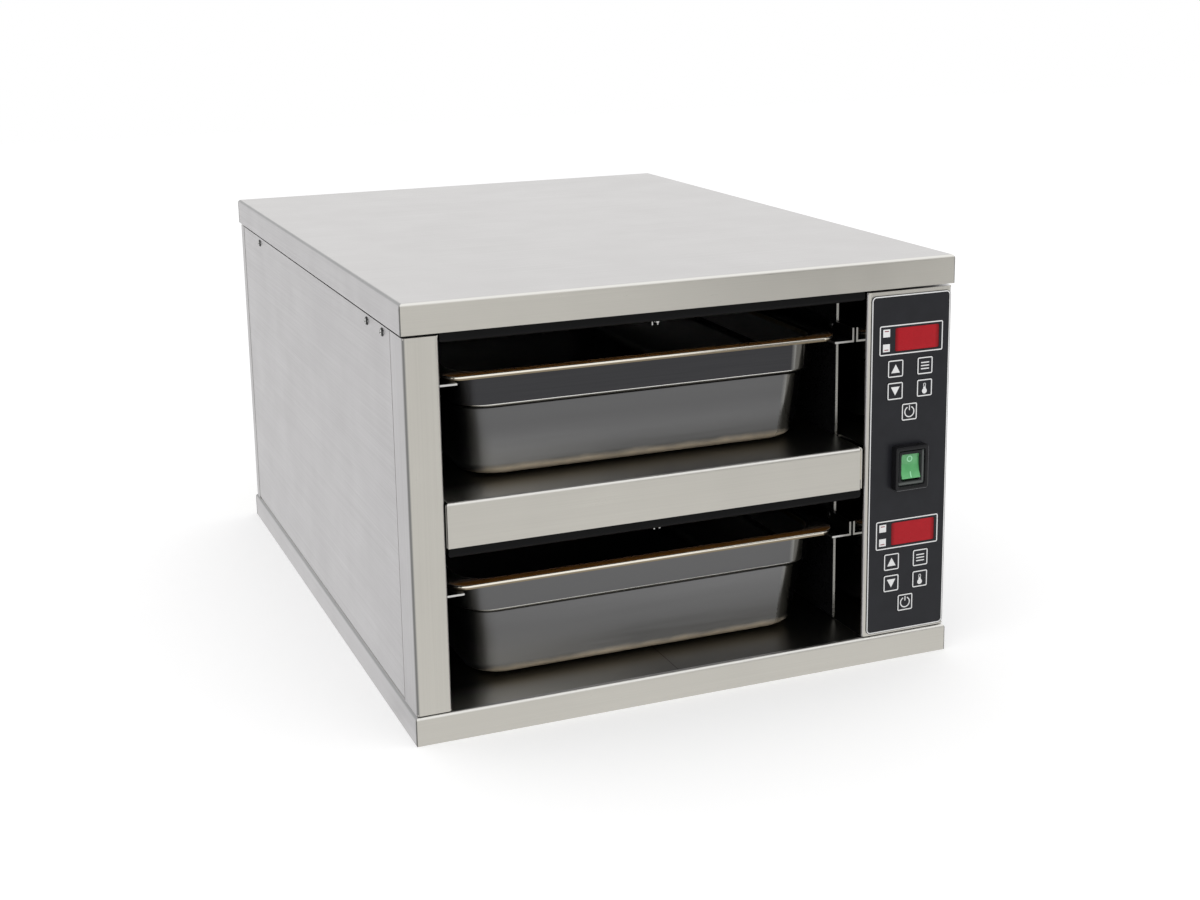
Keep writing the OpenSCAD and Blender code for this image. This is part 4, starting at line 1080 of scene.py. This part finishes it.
class BIN_OT_overlay(Operator):
    """Finish the control overlay and print its border, frames and indicators"""

    bl_idname = "bin.overlay"
    bl_label = "Overlay"

    def execute(self, context):
        scene = context.scene
        colours, marks = scene.bin_colours, scene.bin_print
        wear(moulded("overlay film", colours.film, 0.34, gloss=0.25), "control_overlay")
        ink = moulded("white ink", colours.ink, 0.5, lift=1.08, depth=0.01)
        low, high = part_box("control_overlay")
        back, front = low.y, low.y - marks.raise_by
        bm = bmesh.new()
        width = high.x - low.x - 2 * marks.border_inset
        height = high.z - low.z - 2 * marks.border_inset
        centre = (low + high) / 2
        add_line_frame(bm, width, height, marks.border_corner, marks.line, centre.x, centre.z, back, front)
        dark = bmesh.new()
        for level in LEVELS:
            self.print_display(bm, dark, marks, level, back, front)
        piece("overlay_print", mesh_from(bm, "overlay_print"), ink, "cabinet")
        red = moulded("red ink", colours.red_ink, 0.5)
        piece("indicator_marks", mesh_from(dark, "indicator_marks"), red, "cabinet")
        return {"FINISHED"}

    def print_display(self, bm, dark, marks, level, back, front):
        column = middle(f"{level}_key_power").x
        window = middle(f"{level}_display_lens")
        add_line_frame(
            bm, marks.frame_w, marks.frame_h, marks.frame_corner, marks.line,
            column + marks.frame_x, window.z, back, front,
        )
        half = marks.lamp_s / 2
        for side in (1, -1):
            x, z = column - marks.lamp_x, window.z + side * marks.lamp_z
            add_plate(bm, box_outline(x - half, z - half, x + half, z + half), back, front)
            bar_z = z + side * half * 0.5
            bar = box_outline(x - half * 0.6, bar_z - half * 0.12, x + half * 0.6, bar_z + half * 0.12)
            add_plate(dark, bar, front, front - marks.raise_by / 2)


class BIN_OT_keys(Operator):
    """Finish the ten keys and print a line and a sign on each"""

    bl_idname = "bin.keys"
    bl_label = "Keys"

    def execute(self, context):
        colours, marks = context.scene.bin_colours, context.scene.bin_print
        film = moulded("key film", colours.film, 0.38, gloss=0.25)
        ink = moulded("key ink", colours.ink, 0.5, lift=1.08, depth=0.01)
        for level in LEVELS:
            for sign in KEY_SIGNS:
                node = f"{level}_key_{sign}"
                wear(film, node)
                mesh = self.print_mesh(node, sign, marks)
                piece(f"{node}_print", mesh, ink, node)
        return {"FINISHED"}

    def print_mesh(self, node, sign, marks):
        low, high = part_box(node)
        centre = (low + high) / 2
        side = high.x - low.x - 2 * marks.key_inset
        back, front = low.y, low.y - marks.raise_by
        bm = bmesh.new()
        add_line_frame(bm, side, side, marks.key_corner, marks.line, centre.x, centre.z, back, front)
        for outline, hole in getattr(self, f"{sign}_sign")(marks.line):
            shape = moved(outline, centre.x, centre.z)
            gap = None if hole is None else moved(hole, centre.x, centre.z)
            add_plate(bm, shape, back, front, gap)
        return mesh_from(bm, node + "_print")

    def up_sign(self, line):
        half, low, high = 3.9 * MM, -3.4 * MM, 3.5 * MM
        return [([(-half, low), (half, low), (0, high)], None)]

    def down_sign(self, line):
        half, low, high = 3.9 * MM, -3.5 * MM, 3.4 * MM
        return [([(0, low), (half, high), (-half, high)], None)]

    def set_sign(self, line):
        """Three level bars."""
        half, pitch = 3.7 * MM, 2.5 * MM
        rows = [row * pitch for row in (-1, 0, 1)]
        return [(box_outline(-half, z - line / 2, half, z + line / 2), None) for z in rows]

    def probe_sign(self, line):
        """A thermometer: a bulb, a filled stem and an empty top."""
        bulb, bulb_z = 2.2 * MM, -2.6 * MM
        stem, top, fill = 1.1 * MM, 3.9 * MM, 0.9 * MM
        outline = moved(arc(bulb, 120, 420, 30), 0, bulb_z) + [(stem, fill), (-stem, fill)]
        cap = [(-stem, fill + 0.3 * line)] + moved(arc(stem, 180, 0, 10), 0, top - stem)
        cap += [(stem, fill + 0.3 * line)]
        inner = [(x * 0.55, fill + 0.6 * line + (z - fill - 0.3 * line) * 0.75) for x, z in cap]
        return [(outline, None), (cap, inner)]

    def power_sign(self, line):
        """A ring open at the top with an upright bar."""
        outer, inner, half = 4.6 * MM, 3.7 * MM, 0.45 * line
        bar_low, bar_high = 1.2 * MM, 5.2 * MM
        ring = arc(outer, 115, 425, 40) + arc(inner, 425, 115, 40)
        return [(ring, None), (box_outline(-half, bar_low, half, bar_high), None)]


class BIN_OT_displays(Operator):
    """Finish the red display windows and show their unlit digits"""

    bl_idname = "bin.displays"
    bl_label = "Displays"

    def execute(self, context):
        colours = context.scene.bin_colours
        window = self.window_plastic(colours.red)
        wear(window, *each_level("display_lens"))
        dim = shade(colours.red, 0.92)
        unlit = moulded("unlit segments", dim, 0.2, lift=1.05, depth=0.005, gloss=0.12)
        for level in LEVELS:
            name = f"{level}_display_digits"
            mesh = self.digits(name, f"{level}_display_lens", context.scene.bin_print.raise_by)
            piece(name, mesh, unlit, "cabinet")
        return {"FINISHED"}

    def window_plastic(self, red):
        """Red filter plastic that darkens towards the window's ends."""
        finish = Finish("red window")
        cloud = finish.noise(120, detail=3)
        across = finish.axes(finish.share)["X"]
        left, right = finish.spread(across, 1, 0, 0, 0.09), finish.spread(across, 0, 1, 0.91, 1)
        middle_red = finish.mix(finish.spread(cloud, 0, 0.3), red, shade(red, 0.75))
        finish.set(
            base_color=finish.mix(finish.largest(left, right), middle_red, shade(red, 0.45)),
            roughness=finish.spread(cloud, 0.14, 0.2),
            specular_ior_level=0.12,
        )
        finish.bump(cloud, 0.005 * MM, 0.2)
        return finish.material

    def digits(self, name, lens, raise_by):
        low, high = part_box(lens)
        centre = (low + high) / 2
        width, height, bar, pitch = 6.4 * MM, 11.5 * MM, 1.1 * MM, 10.6 * MM
        bm = bmesh.new()
        for i in (-1, 0, 1):
            x = centre.x + i * pitch
            for dx, dz, upright in (
                (0, 1, False), (0, 0, False), (0, -1, False),
                (-1, 0.5, True), (1, 0.5, True), (-1, -0.5, True), (1, -0.5, True),
            ):
                reach = (height / 4 if upright else width / 2) - 0.7 * bar
                shape = [(-reach, 0), (bar / 2 - reach, -bar / 2), (reach - bar / 2, -bar / 2),
                         (reach, 0), (reach - bar / 2, bar / 2), (bar / 2 - reach, bar / 2)]
                if upright:
                    shape = [(-b, a) for a, b in shape]
                shape = moved(shape, x + dx * width / 2, centre.z + dz * height / 2)
                add_plate(bm, shape, low.y, low.y - raise_by / 2)
        return mesh_from(bm, name)


class BIN_OT_switch(Operator):
    """Make the power switch: its guard, clear rim and marked rocker"""

    bl_idname = "bin.switch"
    bl_label = "Power switch"

    # Margin, corner radius and depth of the guard's rings, in millimetres
    GUARD_OUTSIDE = ((0, 2, 0.9), (-0.25, 1.75, 0.3), (-0.8, 1.4, 0))
    GUARD_INSIDE = ((1.3, 1.6, 0), (0.9, 1.5, 0.3), (0.2, 1.2, 2))

    def execute(self, context):
        colours, switch = context.scene.bin_colours, context.scene.bin_switch
        # The guard's pale right and lower edges are a painted highlight.
        guard = edged_plastic("guard plastic", colours.guard, colours.edge_highlight, 0.012, 0.3, 0.25)
        piece("rocker_guard", self.guard_mesh(), guard, "cabinet", ["switch_guard"])
        wear(moulded("switch body plastic", colours.plastic, 0.4), "switch_body")
        # The clear rim's pale edges are a painted highlight.
        boot = edged_plastic("clear rim", colours.boot, colours.clear_edge_highlight, 0.08, 0.12, 0.2)
        piece("clear_rim", self.boot_mesh(switch), boot, "cabinet")
        green = clear_plastic("green rocker", colours.green, 0.2, 0.12)
        piece("power_rocker", self.rocker_mesh(switch), green, "rocker", ["switch_rocker"])
        marks = clear_plastic("rocker marks", colours.green_ink, 0.3, 0.0)
        piece("rocker_marks", self.marks_mesh(switch), marks, "rocker")
        return {"FINISHED"}

    def frame_ring(self, node, grow, radius, y):
        """A rounded outline about a node's front, grown by a margin in millimetres."""
        low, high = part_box(node)
        centre = (low + high) / 2
        margin = 2 * grow * MM
        outline = rounded(high.x - low.x + margin, high.z - low.z + margin, radius * MM)
        return [(centre.x + x, y, centre.z + z) for x, z in outline]

    def guard_mesh(self):
        """A frame with rounded outer edges and an inner slope down to the clear rim."""
        low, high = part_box("switch_guard")
        rings = [self.frame_ring("switch_guard", 0, 2, high.y)]
        for grow, radius, depth in self.GUARD_OUTSIDE:
            rings.append(self.frame_ring("switch_guard", grow, radius, low.y + depth * MM))
        for grow, radius, depth in self.GUARD_INSIDE:
            rings.append(self.frame_ring("switch_body", grow, radius, low.y + depth * MM))
        rings.append(self.frame_ring("switch_body", 0.2, 1.2, high.y))
        bm = bmesh.new()
        loft(bm, rings, closed=True)
        return mesh_from(bm, "rocker_guard", 35)

    def boot_mesh(self, switch):
        """A clear frame that stands on the switch body's rim round the rocker."""
        low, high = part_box("switch_body")
        centre = (low + high) / 2
        body_w, body_h = high.x - low.x, high.z - low.z
        pocket_w = switch.rocker_w + 2 * switch.side_gap
        pocket_h = switch.rocker_h + 2 * switch.end_gap
        chamfer, slope_w, slope_h = 1.0 * MM, 1.6 * MM, 1.2 * MM
        rings = []
        for width, height, radius, lift in (
            (body_w, body_h, 1.2, 0),
            (body_w, body_h, 1.2, 0.5),
            (body_w - chamfer, body_h - chamfer, 1.4, 1),
            (pocket_w + slope_w, pocket_h + slope_h, 1.4, 1),
            (pocket_w, pocket_h, 1.0, 0.3),
            (pocket_w, pocket_h, 1.0, 0),
        ):
            y = low.y - lift * switch.boot_rise
            outline = rounded(width, height, radius * MM)
            rings.append([(centre.x + x, y, centre.z + z) for x, z in outline])
        bm = bmesh.new()
        loft(bm, rings, closed=True)
        return mesh_from(bm, "clear_rim", 30)

    def dish_radius(self, switch):
        half = switch.rocker_h / 2
        return (half ** 2 + switch.dish ** 2) / (2 * switch.dish)

    def face_y(self, switch, z):
        """Depth of the rocker's hollow face at a height from its middle."""
        radius = self.dish_radius(switch)
        return switch.dish - switch.rocker_front - radius + math.sqrt(radius ** 2 - z ** 2)

    def at_rest(self, bm, switch):
        """Moves a mesh from the rocker's own frame to the pivot, tilted as at rest."""
        joint = next(j for j in frame["joints"] if j["name"] == "rocker_tilt")
        bm.transform(Matrix.Translation(Vector(joint["pos_m"])) @ Matrix.Rotation(-switch.tilt, 4, "X"))

    def rocker_mesh(self, switch):
        """A hollow face over a wedge with rounded edges, and its two pivots."""
        half, wide, steps = switch.rocker_h / 2, switch.rocker_w / 2, 14
        heights = [half * (2 * i / steps - 1) for i in range(steps + 1)]
        outline = [(self.face_y(switch, z), z) for z in heights]
        outline += [(switch.rocker_heel, half), (switch.rocker_back, half / 4)]
        outline += [(switch.rocker_back, -half / 4), (switch.rocker_heel, -half)]
        bm = bmesh.new()
        loft(bm, [[(x, y, z) for y, z in outline] for x in (-wide, wide)], True, True)
        sharp = [edge for edge in bm.edges if edge.calc_face_angle(0) > math.radians(35)]
        bmesh.ops.bevel(bm, geom=sharp, offset=switch.bevel, segments=3, profile=0.5, affect="EDGES")
        sunk = 0.5 * MM
        for side in (-1, 1):
            ends = [side * (wide - sunk), side * (wide + switch.pivot_l)]
            loft(bm, [[(x, y, z) for y, z in circle(switch.pivot_r)] for x in ends], True, True)
        self.at_rest(bm, switch)
        return mesh_from(bm, "power_rocker", 30)

    def marks_mesh(self, switch):
        """A ring above and a bar below, laid on the rocker's hollow face."""
        line, steps = switch.mark_line, 8
        back, front = 0.1 * MM, -0.15 * MM
        ring = moved(circle(switch.ring_r), 0, switch.ring_z)
        gap = moved(circle(switch.ring_r - line), 0, switch.ring_z)
        side = [switch.bar_l * (i / steps - 0.5) - switch.bar_z for i in range(steps + 1)]
        bar = [(line / 2, z) for z in side] + [(-line / 2, z) for z in side[::-1]]
        bm = bmesh.new()
        add_plate(bm, ring, back, front, gap)
        add_plate(bm, bar, back, front)
        for vert in bm.verts:
            vert.co.y += self.face_y(switch, vert.co.z)
        self.at_rest(bm, switch)
        return mesh_from(bm, "rocker_marks", 30)


class BIN_OT_screws(Operator):
    """Make the domed case screws with their cross recesses"""

    bl_idname = "bin.screws"
    bl_label = "Screws"

    def execute(self, context):
        screws = context.scene.bin_screws
        colours = context.scene.bin_colours
        steel = domed_steel("screw steel", colours.screw, colours.screw_rim, 0.2)
        bm = bmesh.new()
        for low, high in self.places():
            self.add_screw(bm, screws, low, high)
        piece("cross_head_screws", mesh_from(bm, "cross_head_screws", 35), steel, "cabinet",
              ["case_screws"])
        return {"FINISHED"}

    def places(self):
        """Lowest and highest corners of each separate solid in the screws' node, in a fixed order."""
        bm = bmesh.new()
        bm.from_mesh(NODES["case_screws"].data)
        bmesh.ops.remove_doubles(bm, verts=bm.verts, dist=0.001 * MM)
        left = set(bm.verts)
        boxes = []
        while left:
            reached, waiting = [], [left.pop()]
            while waiting:
                vert = waiting.pop()
                reached.append(vert.co.copy())
                near = {edge.other_vert(vert) for edge in vert.link_edges} & left
                left -= near
                waiting.extend(near)
            boxes.append(tuple(Vector(map(pick, zip(*reached))) for pick in (min, max)))
        bm.free()
        return sorted(boxes, key=lambda box: tuple(box[0]))

    def cross(self, screws, turn):
        """Reach of the cross recess in one direction."""
        half_w, reach = screws.cross_w / 2, screws.cross_l / 2
        off = abs((turn + math.pi / 4) % (math.pi / 2) - math.pi / 4)
        return reach / math.cos(off) if math.tan(off) * reach <= half_w else half_w / math.sin(off)

    def add_screw(self, bm, screws, low, high):
        """Adds one screw along its solid's long axis, with its head outside."""
        size, centre = high - low, (low + high) / 2
        axis = max(range(3), key=lambda i: size[i])
        out = 1 if centre[axis] > 0 else -1
        radius = max(size[i] for i in range(3) if i != axis) / 2
        tail, tip = sorted((out * low[axis], out * high[axis]))
        dome = (radius ** 2 + screws.head_h ** 2) / (2 * screws.head_h)
        count = screws.points
        turns = [2 * math.pi * i / count for i in range(count)]
        recess = [self.cross(screws, turn) for turn in turns]
        rows = [(recess, [tip - screws.cross_d] * count)]
        for portion in (0, 0.35, 0.7, 0.9, 1):
            reaches = [inner + (radius - inner) * portion for inner in recess]
            rows.append((reaches, [tip - dome + math.sqrt(dome ** 2 - reach ** 2) for reach in reaches]))
        for height in (tip - screws.head_h, tail):
            rows.append(([screws.shank_r] * count, [height] * count))
        loft(bm, [self.ring(centre, axis, out, turns, *row) for row in rows], True, True)

    def ring(self, centre, axis, out, turns, reaches, heights):
        """Points round a screw's axis, each at its own reach and height."""
        points = []
        for turn, reach, height in zip(turns, reaches, heights):
            point = Vector(centre)
            point[(axis + 1) % 3] += reach * math.cos(turn)
            point[(axis + 2) % 3] += reach * math.sin(turn)
            point[axis] = out * height
            points.append(point)
        return points


class BIN_OT_electrics(Operator):
    """Finish the pieces inside the walls and the cable gland"""

    bl_idname = "bin.electrics"
    bl_label = "Electrics and insulation"

    def execute(self, context):
        colours = context.scene.bin_colours
        boards = [f"{place}_insulation" for place in ("base", "top", "shelf", "left", "right", "rear")]
        wear(fibre("fibre board", colours.wool), *boards)
        sheath = plain_metal("element sheath", colours.sheath, 0.45)
        wear(sheath, *each_level("heating_element"))
        steel = plain_metal("bracket steel", colours.plain_steel, 0.35)
        wear(steel, "element_straps", "electrics_plate")
        ceramic = moulded("ceramic", colours.ceramic, 0.3, lift=1.1)
        wear(ceramic, "terminal_block", *each_level("cutout"))
        board = moulded("solder resist", colours.board, 0.4)
        wear(board, *each_level("control_board"))
        wear(plain_metal("turned brass", colours.brass, 0.3), "board_spacers")
        plastic = moulded("moulded plastic", colours.plastic, 0.45, lift=1.6)
        wear(plastic, "heater_relays", "cable_gland", "gland_locknut")
        return {"FINISHED"}


class BIN_PT_panel(Panel):
    """Steps that dress the holding bin"""

    bl_label = "Holding Bin"
    bl_idname = "BIN_PT_panel"
    bl_space_type = "VIEW_3D"
    bl_region_type = "UI"
    bl_category = "Holding Bin"

    def draw(self, context):
        for step in STEPS:
            self.layout.operator(step.bl_idname)
        for name in SETTINGS:
            group = getattr(context.scene, name)
            box = self.layout.box()
            for field in group.__annotations__:
                box.prop(group, field)


STEPS = (
    BIN_OT_stage,
    BIN_OT_casing,
    BIN_OT_bays,
    BIN_OT_pans,
    BIN_OT_overlay,
    BIN_OT_keys,
    BIN_OT_displays,
    BIN_OT_switch,
    BIN_OT_screws,
    BIN_OT_electrics,
)
CLASSES = tuple(SETTINGS.values()) + STEPS + (BIN_PT_panel,)


def register():
    for cls in CLASSES:
        bpy.utils.register_class(cls)
    for name, group in SETTINGS.items():
        setattr(bpy.types.Scene, name, PointerProperty(type=group))


def unregister():
    for name in SETTINGS:
        delattr(bpy.types.Scene, name)
    for cls in reversed(CLASSES):
        bpy.utils.unregister_class(cls)


def main():
    register()
    for step in STEPS:
        group, name = step.bl_idname.split(".")
        getattr(getattr(bpy.ops, group), name)()


if __name__ == "__main__":
    main()
